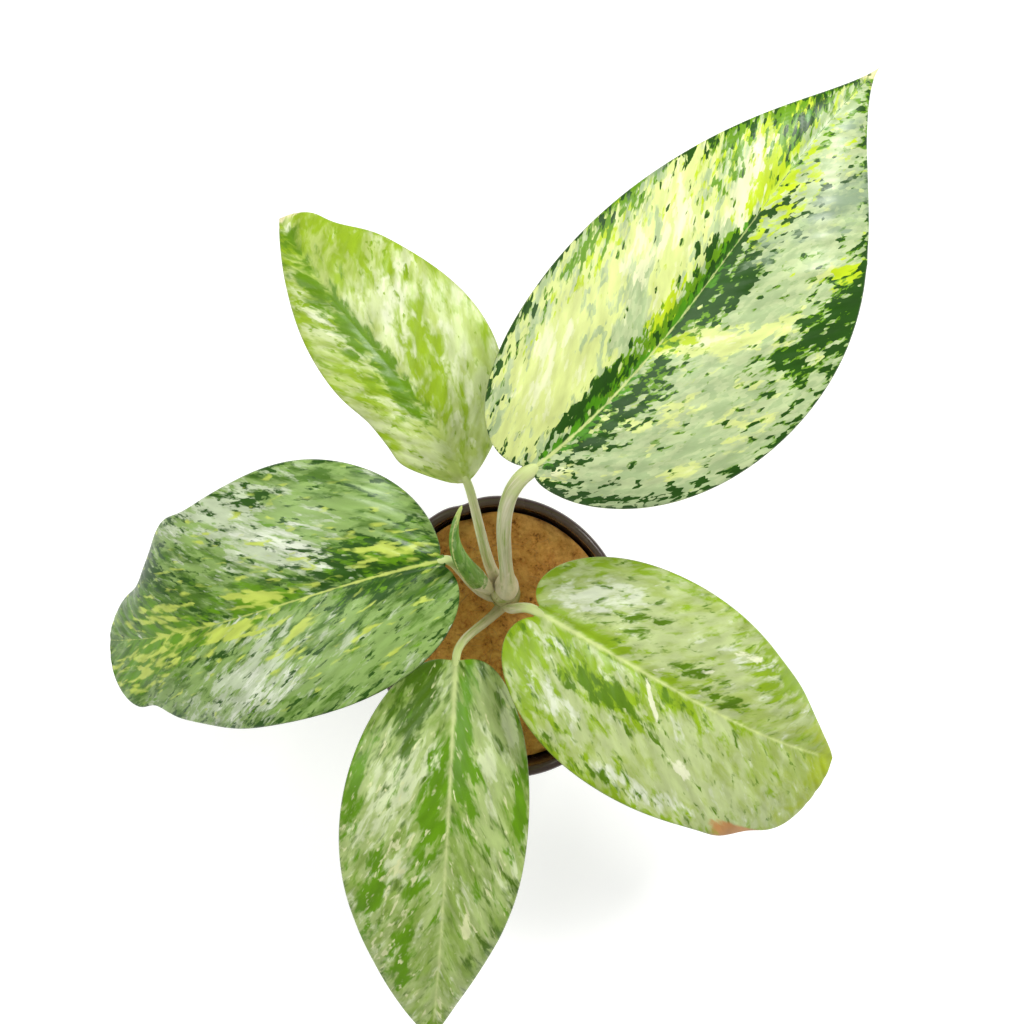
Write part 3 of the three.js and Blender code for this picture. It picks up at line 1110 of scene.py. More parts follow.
@dataclass(eq=False)
class NurseryPot:
    """A thin tapered pot with a rolled lip and drain holes."""

    form: PotForm
    drain_holes: int = 6
    drain_radius: float = 4.0
    drain_ring: float = 26.0
    drain_sides: int = 32
    steps: int = 168
    edge_bevel: float = 0.35
    bevel_angle: float = 0.4
    crisp_angle: float = 0.6
    flat_down: float = -0.9
    crown_steps: int = 14

    def _profile(self) -> list[Pair]:
        """Returns the wall's section as radius and height, from the axis and back to it."""
        f = self.form
        skirt = f.rim_radius - f.wall
        inner_lip = f.rim_radius - f.lip_width
        turns = [math.pi * i / self.crown_steps for i in range(self.crown_steps + 1)]
        outside = (f.foot_round, f.height / 3, 2 * f.height / 3, f.height - f.lip_drop, f.height - f.wall)
        inside = (2 * f.height / 3, f.height / 3, f.floor)
        return [
            (0.0, 0.0), (f.base_radius - f.foot_round, 0.0), *((f.wall_radius(z), z) for z in outside),
            (skirt, f.height - f.wall), (skirt, f.height - f.lip_drop),
            (f.rim_radius, f.height - f.lip_drop),
            *(
                (
                    f.rim_radius - f.lip_width / 2 * (1 - math.cos(turn)),
                    f.height - f.crown * (1 - math.sin(turn))
                ) for turn in turns
            ),
            (inner_lip, f.height - f.lip_drop), *((f.wall_radius(z) - f.wall, z) for z in inside),
            (0.0, f.floor)
        ]

    def _shell(self) -> Mesh:
        """Spins the wall's section into the closed pot and rounds its edges."""
        mesh = bmesh.new()
        points = [mesh.verts.new((radius, 0.0, height)) for radius, height in self._profile()]
        lines = [mesh.edges.new(pair) for pair in zip(points, points[1:])]
        spin = {"cent": (0, 0, 0), "axis": (0, 0, 1), "dvec": (0, 0, 0), "angle": TURN}
        bmesh.ops.spin(mesh, geom=points + lines, steps=self.steps, use_merge=True, **spin)
        bmesh.ops.remove_doubles(mesh, verts=mesh.verts, dist=WELD)
        bmesh.ops.recalc_face_normals(mesh, faces=mesh.faces)
        bevel = {"affect": "EDGES", "segments": 3, "profile": 0.5, "material": -1}
        bmesh.ops.bevel(mesh, geom=self._sharp(mesh, self.bevel_angle), offset=self.edge_bevel, **bevel)
        return mesh

    @staticmethod
    def _sharp(mesh: Mesh, least: float) -> list[bmesh.types.BMEdge]:
        """Returns the edges between two faces that meet at more than least, in radians."""
        return [e for e in mesh.edges if len(e.link_faces) == 2 and e.calc_face_angle() > least]

    def _drilled(self, mesh: Mesh) -> Mesh:
        """Cuts the drain holes through the pot's floor.

        Args:
            mesh: The closed pot. It is freed.

        Returns:
            The pot with its holes.
        """
        drills = bmesh.new()
        for i in range(self.drain_holes):
            turn = TURN * i / self.drain_holes
            spot = Vector((math.cos(turn), math.sin(turn), 0)) * self.drain_ring
            bmesh.ops.create_cone(
                drills, cap_ends=True, segments=self.drain_sides, radius1=self.drain_radius,
                radius2=self.drain_radius, depth=4 * self.form.floor, matrix=Matrix.Translation(spot)
            )
        pieces = [new_object("pot_uncut", mesh), new_object("pot_drills", drills)]
        cut = pieces[0].modifiers.new("drain holes", "BOOLEAN")
        cut.operation = "DIFFERENCE"
        cut.object = pieces[1]
        evaluated = pieces[0].evaluated_get(bpy.context.evaluated_depsgraph_get())
        result = bmesh.new()
        result.from_mesh(evaluated.to_mesh())
        evaluated.to_mesh_clear()
        for piece in pieces:
            bpy.data.meshes.remove(piece.data)
        return result

    def build(self) -> None:
        """Makes the pot's piece."""
        mesh = self._drilled(self._shell())
        for face in mesh.faces:
            face.smooth = face.normal.z > self.flat_down
        for edge in self._sharp(mesh, self.crisp_angle):
            edge.smooth = False
        for vert in mesh.verts:
            vert.co = self.form.squeezed(vert.co)
        finish_piece(mesh, "pot_shell", [PotPlastic().build()], "pot")


@dataclass(frozen=True)
class CoirFinish:
    """Moist coconut coir: matt crumbs from tan to dark brown, with paler fibres.

    Its crumbs swallow the light, so it shows as a rough ground with dark gaps and no shine.
    """

    tan: str = "ffbe6e"
    brown: str = "d5863a"
    dark: str = "54321a"
    fibre: str = "e0b47c"
    crumb: float = 1.5
    patch: float = 5.5
    patch_share: float = 0.9
    streak: float = 5.55556
    tan_range: Pair = (0.68, 1.12)
    dark_range: Quad = (0.56, 0.82, 1.0, 0.0)
    height: float = 0.8

    def build(self) -> Material:
        """Makes the material of the crumbs.

        Returns:
            The material, in Object coordinates.
        """
        material, add = new_material("moist_coir")
        place = add("TexCoord").outputs["Object"]
        small = {"Vector": place, "Scale": 1 / (self.crumb * MM), "Detail": 5.0, "Roughness": 0.7}
        crumbs = add("TexNoise", small)
        large = {"Vector": place, "Scale": 1 / (self.patch * MM), "Detail": 3.0}
        mixing = {0: add("TexNoise", large), 1: self.patch_share, 2: crumbs}
        mixed = add("Math", mixing, operation="MULTIPLY_ADD")
        ramp = add("MapRange", dict(enumerate((mixed, *self.tan_range))))
        tones = {"Factor": ramp, "A": linear(self.brown), "B": linear(self.tan)}
        tone = add("Mix", tones, data_type="RGBA")
        low = add("MapRange", dict(enumerate((mixed, *self.dark_range))))
        tone = add("Mix", {"Factor": low, "A": tone, "B": linear(self.dark)}, data_type="RGBA")
        bump = add("Bump", {"Strength": 0.9, "Distance": self.height * MM, "Height": crumbs})
        shader = add("BsdfPrincipled", {"Base Color": tone, "Roughness": 0.95, "Normal": bump})
        add("OutputMaterial", {"Surface": shader})
        return material

    def build_fibre(self) -> Material:
        """Makes the material of the loose fibres.

        Returns:
            The material, in Object coordinates.
        """
        material, add = new_material("coir_fibre")
        place = add("TexCoord").outputs["Object"]
        streaks = add("TexNoise", {"Vector": place, "Scale": 1 / (self.streak * MM), "Detail": 2.0})
        tones = {"Factor": streaks, "A": linear(self.brown), "B": linear(self.fibre)}
        tone = add("Mix", tones, data_type="RGBA")
        shader = add("BsdfPrincipled", {"Base Color": tone, "Roughness": 0.8})
        add("OutputMaterial", {"Surface": shader})
        return material


@dataclass(eq=False)
class CoirBed:
    """The coir that fills the pot, crumbly on top, with loose fibres and crumbs."""

    form: PotForm
    finish: CoirFinish
    top: float = 78.0
    gap: float = 0.3
    lumps: tuple[Quad, ...] = ((0.9, 23.0, 20.0, 0.4), (0.7, 17.0, 95.0, 1.3), (0.5, 11.0, 150.0, 2.2))
    mound: float = 2.2
    mound_radius: float = 14.0
    stem: Pair = (0.4, 16.5)
    stem_room: float = 8.0
    crumb_height: float = 1.1
    crumb_size: float = 2.6
    crumb_form: tuple[float, float, int] = (0.7, 2.1, 5)
    grit: float = 1.3
    top_share: float = 0.86
    wall_share: float = 0.8
    edge: Pair = (1.2, 0.6)
    rows: int = 170
    columns: int = 420
    litter_span: float = 45.0
    litter_radius: float = 40.0
    crumbs: int = 420
    crumb_radius: Pair = (0.5, 1.8)
    crumb_width: Pair = (0.5, 0.9)
    crumb_flatness: float = 0.6
    crumb_dents: Pair = (0.18, 1.9)
    fibres: int = 260
    fibre_steps: int = 9
    fibre_step: Pair = (0.5, 1.4)
    fibre_bend: float = 0.25
    fibre_radius: Pair = (0.07, 0.16)
    fibre_hump: float = 0.5
    fibre_edge: Point = (41.0, 1.5, 2.0)
    seed: int = 11

    def _inner(self, z: float) -> float:
        """Returns the coir's radius at a height."""
        return self.form.wall_radius(z) - self.form.wall - self.gap

    def _from_stem(self, x: float, y: float) -> float:
        """Returns the distance of a place from the cane."""
        return math.hypot(x - self.stem[0], y - self.stem[1])

    def _height(self, x: float, y: float) -> float:
        """Returns the height of the coir's top over a place.

        Args:
            x: The place to the right.
            y: The place to the back.

        Returns:
            The height.
        """
        height = self.top + self.mound * bell(self._from_stem(x, y), 0, self.mound_radius)
        for rise, across, turn, shift in self.lumps:
            angle = math.radians(turn)
            along = x * math.cos(angle) + y * math.sin(angle)
            height += rise * math.sin(TURN * along / across + shift)
        spot = Vector((x, y, 0.0)) / self.crumb_size
        grain = noise.fractal(spot, *self.crumb_form)
        near = noise.voronoi(spot * self.grit)[0][0]
        return height + self.crumb_height * (grain + 0.5 - near) / 2

    def _place(self, x: float, v: float) -> Vector:
        """Returns the point of the coir's surface for a grid point.

        Args:
            x: The way from the middle of the top over its edge to the middle of the bottom.
            v: The way round.

        Returns:
            The point.
        """
        edge = self._inner(self.top)
        if x <= self.top_share:
            radius, z = edge * x / self.top_share, self.top
        else:
            down = (x - self.top_share) / (1 - self.top_share)
            z = lerp(self.top, self.form.floor + self.gap, min(1.0, down / self.wall_share))
            inward = max(0.0, (down - self.wall_share) / (1 - self.wall_share))
            radius = self._inner(z) * (1 - inward)
        angle = TURN * v
        point = self.form.squeezed(Vector((radius * math.cos(angle), radius * math.sin(angle), z)))
        if x <= self.top_share:
            width, drop = self.edge
            flat = smooth(edge - radius, 0.0, width)
            point.z = lerp(self.top - drop, self._height(point.x, point.y), flat)
        return point

    @staticmethod
    def _chart(x: float, v: float) -> Chart:
        """Returns plain lengths, because the coir's pattern follows the object."""
        return x, v, 0.0, 0.0

    def _scatter(self, rng: random.Random) -> Vector:
        """Returns a random place on the coir's top, inside the wall and off the cane.

        Args:
            rng: The source of random draws.

        Returns:
            The place.
        """
        span = self.litter_span
        while True:
            x, y = rng.uniform(-span, span), rng.uniform(-span, span)
            if math.hypot(x, y) < self.litter_radius and self._from_stem(x, y) > self.stem_room:
                return Vector((x, y, self._height(x, y)))

    def _litter(self) -> Mesh:
        """Makes the loose crumbs and fibres on the coir's top."""
        rng = random.Random(self.seed)
        mesh = bmesh.new()
        for _ in range(self.crumbs):
            spot = self._scatter(rng)
            size = rng.uniform(*self.crumb_radius)
            turn = Matrix.Rotation(rng.uniform(0, math.pi), 4, "Z")
            width = size * rng.uniform(*self.crumb_width)
            shape = Matrix.Diagonal((size, width, size * self.crumb_flatness, 1.0))
            matrix = Matrix.Translation(spot) @ turn @ shape
            bmesh.ops.create_icosphere(mesh, subdivisions=1, radius=1.0, matrix=matrix)
        depth, steps = self.crumb_dents
        for vert in mesh.verts:
            vert.co += depth * noise.noise_vector(vert.co * steps)
        for _ in range(self.fibres):
            self._add_fibre(mesh, rng)
        for face in mesh.faces:
            face.smooth = True
        return mesh

    def _add_fibre(self, mesh: Mesh, rng: random.Random) -> None:
        """Adds one curved fibre that lies on the coir, three-sided because it is so thin.

        Args:
            mesh: The litter's mesh.
            rng: The source of random draws.
        """
        spot = self._scatter(rng)
        heading = rng.uniform(0, TURN)
        bend = rng.uniform(-self.fibre_bend, self.fibre_bend)
        step = rng.uniform(*self.fibre_step)
        radius = rng.uniform(*self.fibre_radius)
        steps = self.fibre_steps
        edge, back, turn = self.fibre_edge
        rings = []
        for i in range(steps):
            along = Vector((math.cos(heading), math.sin(heading), 0))
            side = UP.cross(along)
            lift = radius + self.fibre_hump * bell(i, steps / 2, steps / 3)
            centre = Vector((spot.x, spot.y, self._height(spot.x, spot.y) + lift))
            thin = radius * math.sqrt(max(0.1, 1 - (2 * i / (steps - 1) - 1) ** 2))
            angles = (TURN * k / 3 for k in range(3))
            rings.append([centre + (side * math.cos(a) + UP * math.sin(a)) * thin for a in angles])
            spot = spot + along * step
            if math.hypot(spot.x, spot.y) > edge:
                spot = spot - along * step * back
                heading += turn
            heading += bend
        rings = [[mesh.verts.new(point) for point in ring] for ring in rings]
        for before, after in zip(rings, rings[1:]):
            for k in range(3):
                n = (k + 1) % 3
                mesh.faces.new((before[k], before[n], after[n], after[k])).material_index = 1
        mesh.faces.new(rings[0][::-1]).material_index = 1
        mesh.faces.new(rings[-1]).material_index = 1

    def build(self) -> None:
        """Makes the coir's bed and its litter."""
        coir = self.finish.build()
        bed = mapped_grid(self.rows, self.columns, self._place, self._chart)
        finish_piece(bed, "soil_bed", [coir], "soil")
        materials = [coir, self.finish.build_fibre()]
        finish_piece(self._litter(), "soil_litter", materials, "soil")


@dataclass(frozen=True)
class Studio:
    """A pale floor, soft lights and the camera of the photograph, straight above the plant."""

    camera_place: Point = (3.0, 47.2, 710.0)
    focal_pixels: float = 1641.0
    image_pixels: float = 1024.0
    sensor: float = 36.0
    clip_start: float = 0.01
    target: Point = (0.0, 0.02, 0.12)
    window: Point = (0.6, 0.7, 1.3)
    window_size: float = 0.4
    window_watts: float = 14.0
    fill: Point = (-0.7, 0.1, 1.3)
    fill_size: float = 1.0
    fill_watts: float = 8.0
    sky: float = 0.34
    floor_size: float = 6.0
    floor_tones: tuple[str, str] = ("dededc", "e6e6e5")
    floor_glow: float = 0.55

    def _camera(self) -> None:
        """Makes the camera, whose top is towards the back of the plant."""
        data = bpy.data.cameras.new("camera")
        data.sensor_fit = "HORIZONTAL"
        data.sensor_width = self.sensor
        data.lens = self.sensor * self.focal_pixels / self.image_pixels
        data.clip_start = self.clip_start
        camera = bpy.data.objects.new("camera", data)
        camera.location = Vector(self.camera_place) * MM
        bpy.context.scene.collection.objects.link(camera)
        bpy.context.scene.camera = camera

    def _softbox(self, name: str, place: Point, size: float, power: float) -> None:
        """Adds a square soft light that faces the plant.

        Args:
            name: The light's name.
            place: Its place in metres.
            size: Its width in metres.
            power: Its power in watts.
        """
        data = bpy.data.lights.new(name, "AREA")
        data.size = size
        data.energy = power
        light = bpy.data.objects.new(name, data)
        light.location = place
        towards = Vector(self.target) - light.location
        light.rotation_euler = towards.to_track_quat("-Z", "Y").to_euler()
        bpy.context.scene.collection.objects.link(light)

    def _floor(self) -> None:
        """Makes the floor that the pot stands on: matt paper, lit a little from beneath."""
        mesh = bmesh.new()
        bmesh.ops.create_grid(mesh, x_segments=1, y_segments=1, size=self.floor_size / 2)
        floor = new_object("floor", mesh)
        material, add = new_material("pale_paper")
        place = add("TexCoord").outputs["Object"]
        mottle = add("TexNoise", {"Vector": place, "Scale": 3.0})
        tones = {"Factor": mottle, "A": linear(self.floor_tones[0]), "B": linear(self.floor_tones[1])}
        look = {
            "Base Color": add("Mix", tones, data_type="RGBA"), "Roughness": 0.9,
            "Emission Color": linear("ffffff"), "Emission Strength": self.floor_glow
        }
        add("OutputMaterial", {"Surface": add("BsdfPrincipled", look)})
        floor.data.materials.append(material)

    def build(self) -> None:
        """Sets up the camera, the floor, the sky and the lights."""
        self._camera()
        self._floor()
        world = bpy.data.worlds.new("studio")
        world.use_nodes = True
        background = world.node_tree.nodes["Background"]
        background.inputs["Color"].default_value = linear("ffffff")
        background.inputs["Strength"].default_value = self.sky
        bpy.context.scene.world = world
        bpy.context.scene.view_settings.view_transform = "Standard"
        self._softbox("window", self.window, self.window_size, self.window_watts)
        self._softbox("fill", self.fill, self.fill_size, self.fill_watts)


# How far the pale line of a midrib reaches to each side.
RIB_LINE = 1.5

# Stalks and rolls have no side veins, so their markings lie straight and have no cells.
STRAIGHT: dict[str, Any] = {"jag": 0.0, "vein_lean": (0.0, 0.0), "vein_curve": 0.0}


def painted_margin_shade(colour: str, soft: float) -> Marking:
    """Returns the thin darker line along a leaf's margin, which is painted edge shade."""
    return Marking(colour, -1.0, ((Near.MARGIN, 1.2, 0.6),), soft=soft)


def rib_line(colour: str, level: float, reach: float, base: Pair, soft: float) -> Marking:
    """Returns the line along a midrib, broader by an amount and a reach towards the base."""
    return Marking(colour, level, ((Near.RIB, 1.5, reach), (Near.BASE, *base)), soft=soft)


# Ivory and green hairlines along the stalk, which make it look fibrous.
STALK_SKIN = LivingFinish(
    base="d8d3a6",
    markings=(
        Marking("ebe7c8", -0.02, soft=0.12, grain=(30.0, 1.2), seed=1.0),
        Marking("a9ba62", -0.1, ((Near.RIB, 0.08, 1.5),), soft=0.14, grain=(26.0, 1.4), seed=2.0),
        Marking("cdda90", -0.3, ((Near.TIP, 0.5, 12.0),), soft=0.2, grain=(9.0, 3.0), seed=4.0),
        Marking("f6ecd2", -0.35, ((Near.BASE, 0.6, 24.0),), soft=0.2, grain=(12.0, 3.0), seed=3.0)
    ),
    shade=(0.9, 1.06), shade_grain=(24.0, 1.6), streaks=(14.0, 0.9, 0.04), roughness=(0.35, 0.5), coat=0.05,
    **STRAIGHT
)

# Pale green bark that turns brown and dull towards the coir.
CANE_SKIN = LivingFinish(
    base="d6cea2",
    markings=(
        Marking("aab266", -0.02, soft=0.1, grain=(3.0, 6.0), seed=4.0),
        Marking("8a6a3c", -0.24, ((Near.BASE, 0.5, 30.0),), soft=0.06, grain=(2.0, 4.0), seed=5.0)
    ),
    roughness=(0.5, 0.65), coat=0.0, **STRAIGHT
)

# Fresh green drawn out along the roll, with the pale free edge that shows how it is wound.
ROLL_SKIN = LivingFinish(
    base="6aa032",
    markings=(
        Marking("93b86a", -0.05, soft=0.1, grain=(9.0, 1.6), seed=6.0),
        Marking("478020", -0.1, soft=0.08, grain=(8.0, 1.4), seed=7.0),
        Marking("e6e0bc", -0.5, ((Near.BASE, 1.4, 24.0),), soft=0.1, grain=(6.0, 3.0), seed=8.0),
        Marking("d9dd8e", -0.7, ((Near.MARGIN, 0.9, 1.4),), soft=0.1, seed=8.0),
        Marking("cfe07a", -0.5, ((Near.TIP, 0.8, 14.0),), soft=0.1, grain=(6.0, 1.5), seed=9.0)
    ),
    shade_grain=(20.0, 1.8), streaks=(14.0, 0.9, 0.04), roughness=(0.35, 0.5), coat=0.1, **STRAIGHT
)

# The boldest leaf: dark green broken up by cream and lime cells with stepped edges.
BACK_RIGHT_SKIN = LivingFinish(
    base="aec48c",
    markings=(
        Marking("c4d49c", 0.0, cloud=0.3, soft=0.08, grain=(2.6, 4.0), seed=6.0),
        Marking(
            "dfeb92", -0.1, side=0.06, cloud=0.6, soft=0.05, grain=(4.0, 7.0), seed=1.0,
            spots=(
                Spot(34, 20, 28, 14, 0.26), Spot(68, 16, 7, 10, -0.2), Spot(98, 22, 20, 14, 0.22),
                Spot(72, -13, 6, 16, 0.34), Spot(46, -18, 10, 12, 0.1), Spot(40, -34, 34, 8, 0.07)
            )
        ),
        Marking(
            "f2f8c0", -0.2, side=0.03, cloud=0.5, soft=0.07, grain=(4.0, 8.0), seed=7.0,
            spots=(
                Spot(30, 22, 16, 8, 0.2), Spot(88, 20, 18, 8, 0.2), Spot(113, 6, 14, 6, 0.4),
                Spot(68, 5, 6, 3, 0.2), Spot(73, -14, 3, 12, 0.24)
            )
        ),
        Marking(
            "c2dc1e", -0.21, ((Near.RIB, 0.06, 6.0), (Near.TIP, 0.1, 40.0), (Near.MARGIN, 0.04, 8.0)),
            soft=0.04, grain=(3.2, 5.0), seed=2.0,
            spots=(
                Spot(66, 4, 9, 5, 0.28), Spot(63, -4, 4, 5, 0.24), Spot(118, 2, 20, 6, 0.16),
                Spot(132, 11, 14, 8, 0.2), Spot(110, -33, 6, 6, 0.3), Spot(74, 32, 28, 6, 0.16),
                Spot(114, -7, 14, 6, 0.16), Spot(112, 20, 16, 8, 0.14)
            )
        ),
        Marking(
            "689a08", -0.125, ((Near.MARGIN, 0.16, 4.0), (Near.TIP, 0.06, 30.0)), soft=0.03,
            # slot: The record's slot for the piece. It is not used.
            grain=(2.7, 4.4), seed=3.0,
            spots=(
                Spot(34, 4, 24, 4, 0.24), Spot(38, -6, 26, 7, 0.2), Spot(84, -5, 18, 8, 0.24),
                Spot(86, 1, 26, 3, 0.24), Spot(90, -35, 22, 8, 0.24), Spot(74, 33, 26, 5, 0.13),
                Spot(138, 8, 16, 6, 0.22), Spot(114, 15, 16, 8, 0.1), Spot(36, 21, 26, 11, -0.16),
                Spot(90, 20, 18, 8, -0.06), Spot(74, -15, 6, 12, -0.12), Spot(113, 6, 12, 4, -0.2)
            )
        ),
        Marking(
            "235000", -0.15, ((Near.MARGIN, 0.17, 4.0),), soft=0.012, grain=(2.7, 4.4), seed=3.0,
            spots=(
                Spot(30, 4, 22, 4, 0.24), Spot(34, -6, 24, 7, 0.2), Spot(84, -5, 16, 8, 0.24),
                Spot(88, 0, 22, 2, 0.3), Spot(90, -35, 22, 8, 0.22), Spot(6, -16, 14, 20, 0.07),
                Spot(138, 6, 14, 4, 0.14), Spot(118, -10, 16, 8, 0.12), Spot(96, 8, 9, 5, 0.1),
                Spot(36, 21, 26, 11, -0.16), Spot(74, -15, 6, 12, -0.12), Spot(113, 6, 12, 4, -0.2)
            )
        ),
        Marking(
            "4f9404", -0.28, ((Near.RIB, 0.12, 4.0),), soft=0.05, grain=(2.4, 4.0), seed=8.0,
            spots=(
                Spot(30, 1, 26, 4, 0.22), Spot(22, -6, 20, 5, 0.14), Spot(80, 1, 24, 3, 0.16),
                Spot(140, 7, 14, 6, 0.18)
            )
        ),
        Marking(
            "c9e03a", -0.24, soft=0.04, grain=(2.0, 3.4), seed=9.0,
            spots=(Spot(26, -5, 26, 5, 0.1), Spot(140, 8, 16, 7, 0.16), Spot(122, -8, 14, 6, 0.14))
        ),
        # Painted grey sheen: the gloss towards the tip on the right half and along the upper margin,
        # painted into the colour.
        Marking(
            "8fa582", -0.36, soft=0.12, grain=(3.0, 8.0), seed=5.0,
            spots=(
                Spot(130, -20, 20, 12, 0.46), Spot(150, -7, 10, 8, 0.3), Spot(104, 33, 20, 4, 0.4),
                Spot(98, -8, 10, 7, 0.28)
            )
        ),
        rib_line("d3e08c", -1.5, RIB_LINE, (0.5, 60.0), 0.2),
        # Dark line along the midrib, strongest towards the tip: painted shadow in the midrib's crease.
        Marking("356a04", -1.9, ((Near.RIB, 1.6, 1.2), (Near.TIP, 0.45, 160.0)), soft=0.1),
        painted_margin_shade("8c9a5a", 0.1), Marking("ece8a8", -0.6, ((Near.TIP, 0.9, 14.0),), soft=0.08)
    ),
    jag=0.7, vein_lean=(1.3, 0.85)
)

# The palest leaf: soft cream and olive washes that run into one another, and whitish patches on its right
# half that are partly painted highlight.
BACK_LEFT_SKIN = LivingFinish(
    base="b6c968",
    markings=(
        Marking(
            "cfdc9c", -0.04, cloud=0.4, soft=0.12, grain=(6.0, 10.5), detail=3.0, seed=11.0,
            spots=(
                Spot(60, -13, 14, 12, 0.26), Spot(76, 10, 24, 5, 0.21), Spot(22, 11, 16, 6, 0.16),
                Spot(34, -20, 12, 9, 0.18), Spot(98, -8, 14, 10, -0.21)
            )
        ),
        # Whitish patches, mostly on the right half: partly the leaf's own pale variegation and partly
        # painted highlight.
        Marking(
            "e6edc2", -0.16, cloud=0.3, soft=0.096, grain=(4.5, 9.0), detail=3.0, seed=16.0,
            spots=(Spot(56, -12, 11, 10, 0.23), Spot(36, -18, 9, 7, 0.16), Spot(72, 8, 20, 4, 0.08))
        ),
        Marking(
            "95b41e", -0.12, ((Near.MARGIN, 0.1, 4.0), (Near.TIP, 0.16, 26.0)), soft=0.108,
            grain=(5.1, 9.0), detail=3.0, seed=12.0,
            spots=(
                Spot(33, -8, 12, 7, 0.26), Spot(52, -16, 7, 10, 0.18), Spot(48, 10, 12, 5, 0.16),
                Spot(88, -14, 14, 12, 0.1), Spot(34, -22, 10, 6, -0.13)
            )
        ),
        Marking(
            "628c00", -0.32, ((Near.RIB, 0.34, 9.0),), side=0.05, soft=0.108, grain=(4.5, 7.5), detail=3.0,
            seed=13.0,
            spots=(Spot(60, 3, 46, 5, 0.18), Spot(8, 0, 12, 8, -0.26), Spot(30, -5, 30, 3, -0.16))
        ),
        Marking(
            "84a612", -0.16, side=0.02, soft=0.06, grain=(2.7, 4.5), detail=3.0, seed=14.0,
            spots=(Spot(78, -20, 16, 8, 0.09), Spot(48, 11, 12, 4, 0.13), Spot(82, 10, 20, 5, 0.09))
        ),
        Marking("e0e2a0", -0.6, ((Near.BASE, 0.64, 12.0),), soft=0.24, grain=(9.0, 9.0), seed=15.0),
        painted_margin_shade("a8ad62", 0.18), Marking("e9e2ae", -0.6, ((Near.TIP, 0.9, 5.0),), soft=0.096)
    ),
    jag=0.25, vein_lean=(1.1, 0.8)
)

# The darkest leaf: grey-white streaks, partly its own colour and partly painted sheen, and yellow-green
# flecks on deep green.
LEFT_SKIN = LivingFinish(
    base="4a7212",
    markings=(
        Marking(
            "8cab5c", -0.02, cloud=0.4, soft=0.1, grain=(5.0, 10.0), seed=21.0,
            spots=(
                Spot(24, 24, 24, 12, 0.17), Spot(80, 24, 30, 14, 0.22), Spot(58, -27, 26, 15, 0.24),
                Spot(20, -24, 14, 14, 0.1), Spot(124, -10, 20, 18, -0.17), Spot(20, -3, 20, 7, -0.17)
            )
        ),
        # Grey-white patches above and below the midrib: partly the leaf's own pale streaks and partly
        # painted sheen.
        Marking(
            "bfcda8", -0.15, cloud=0.3, soft=0.08, grain=(3.0, 11.2), seed=22.0,
            spots=(
                Spot(80, 24, 26, 14, 0.24), Spot(54, -20, 20, 15, 0.26), Spot(72, -40, 26, 7, 0.24),
                Spot(70, 8, 12, 4, 0.12), Spot(14, -6, 20, 12, -0.12), Spot(128, 0, 18, 24, -0.19)
            )
        ),
        # The whitest part of the same patches: partly pale streaks and partly painted sheen.
        Marking(
            "dde5cc", -0.21, cloud=0.3, soft=0.07, grain=(2.2, 11.2), seed=26.0,
            spots=(Spot(72, 26, 18, 10, 0.2), Spot(50, -20, 13, 11, 0.24), Spot(82, 3, 10, 4, 0.24))
        ),
        Marking(
            "285200", -0.12, ((Near.MARGIN, 0.08, 6.0),), soft=0.05, grain=(3.0, 6.2), seed=23.0,
            spots=(
                Spot(24, 3, 20, 5, 0.22), Spot(24, -8, 20, 7, 0.24), Spot(126, -28, 20, 12, 0.24),
                Spot(58, -37, 8, 3, 0.22), Spot(84, 11, 10, 3, 0.14), Spot(48, -4, 14, 4, 0.12),
                Spot(96, -3, 14, 4, 0.12)
            )
        ),
        Marking(
            "619200", -0.17, ((Near.RIB, 0.1, 6.0),), soft=0.07, grain=(3.2, 7.5), seed=24.0,
            spots=(
                Spot(122, 8, 22, 14, 0.26), Spot(66, -4, 12, 5, 0.29), Spot(16, -7, 16, 6, 0.17),
                Spot(122, -12, 18, 10, 0.14)
            )
        ),
        Marking(
            "bfd158", -0.155, ((Near.MARGIN, -0.1, 5.0),), soft=0.075, grain=(4.5, 5.2), detail=1.5,
            seed=25.0,
            spots=(
                Spot(56, 10, 3, 4, 0.36), Spot(31, 16, 3, 3, 0.24), Spot(61, 17, 3, 4, 0.24),
                Spot(76, 4, 14, 3, 0.31), Spot(66, -5, 9, 4, 0.24), Spot(112, -8, 14, 7, 0.14),
                Spot(122, 9, 22, 12, 0.17), Spot(16, -7, 14, 6, 0.14), Spot(84, 24, 18, 8, -0.07)
            )
        ),
        rib_line("bccb62", -1.5, RIB_LINE, (0.5, 60.0), 0.2), painted_margin_shade("3c5c1a", 0.1)
    ),
    jag=0.4, vein_lean=(1.4, 1.2)
)

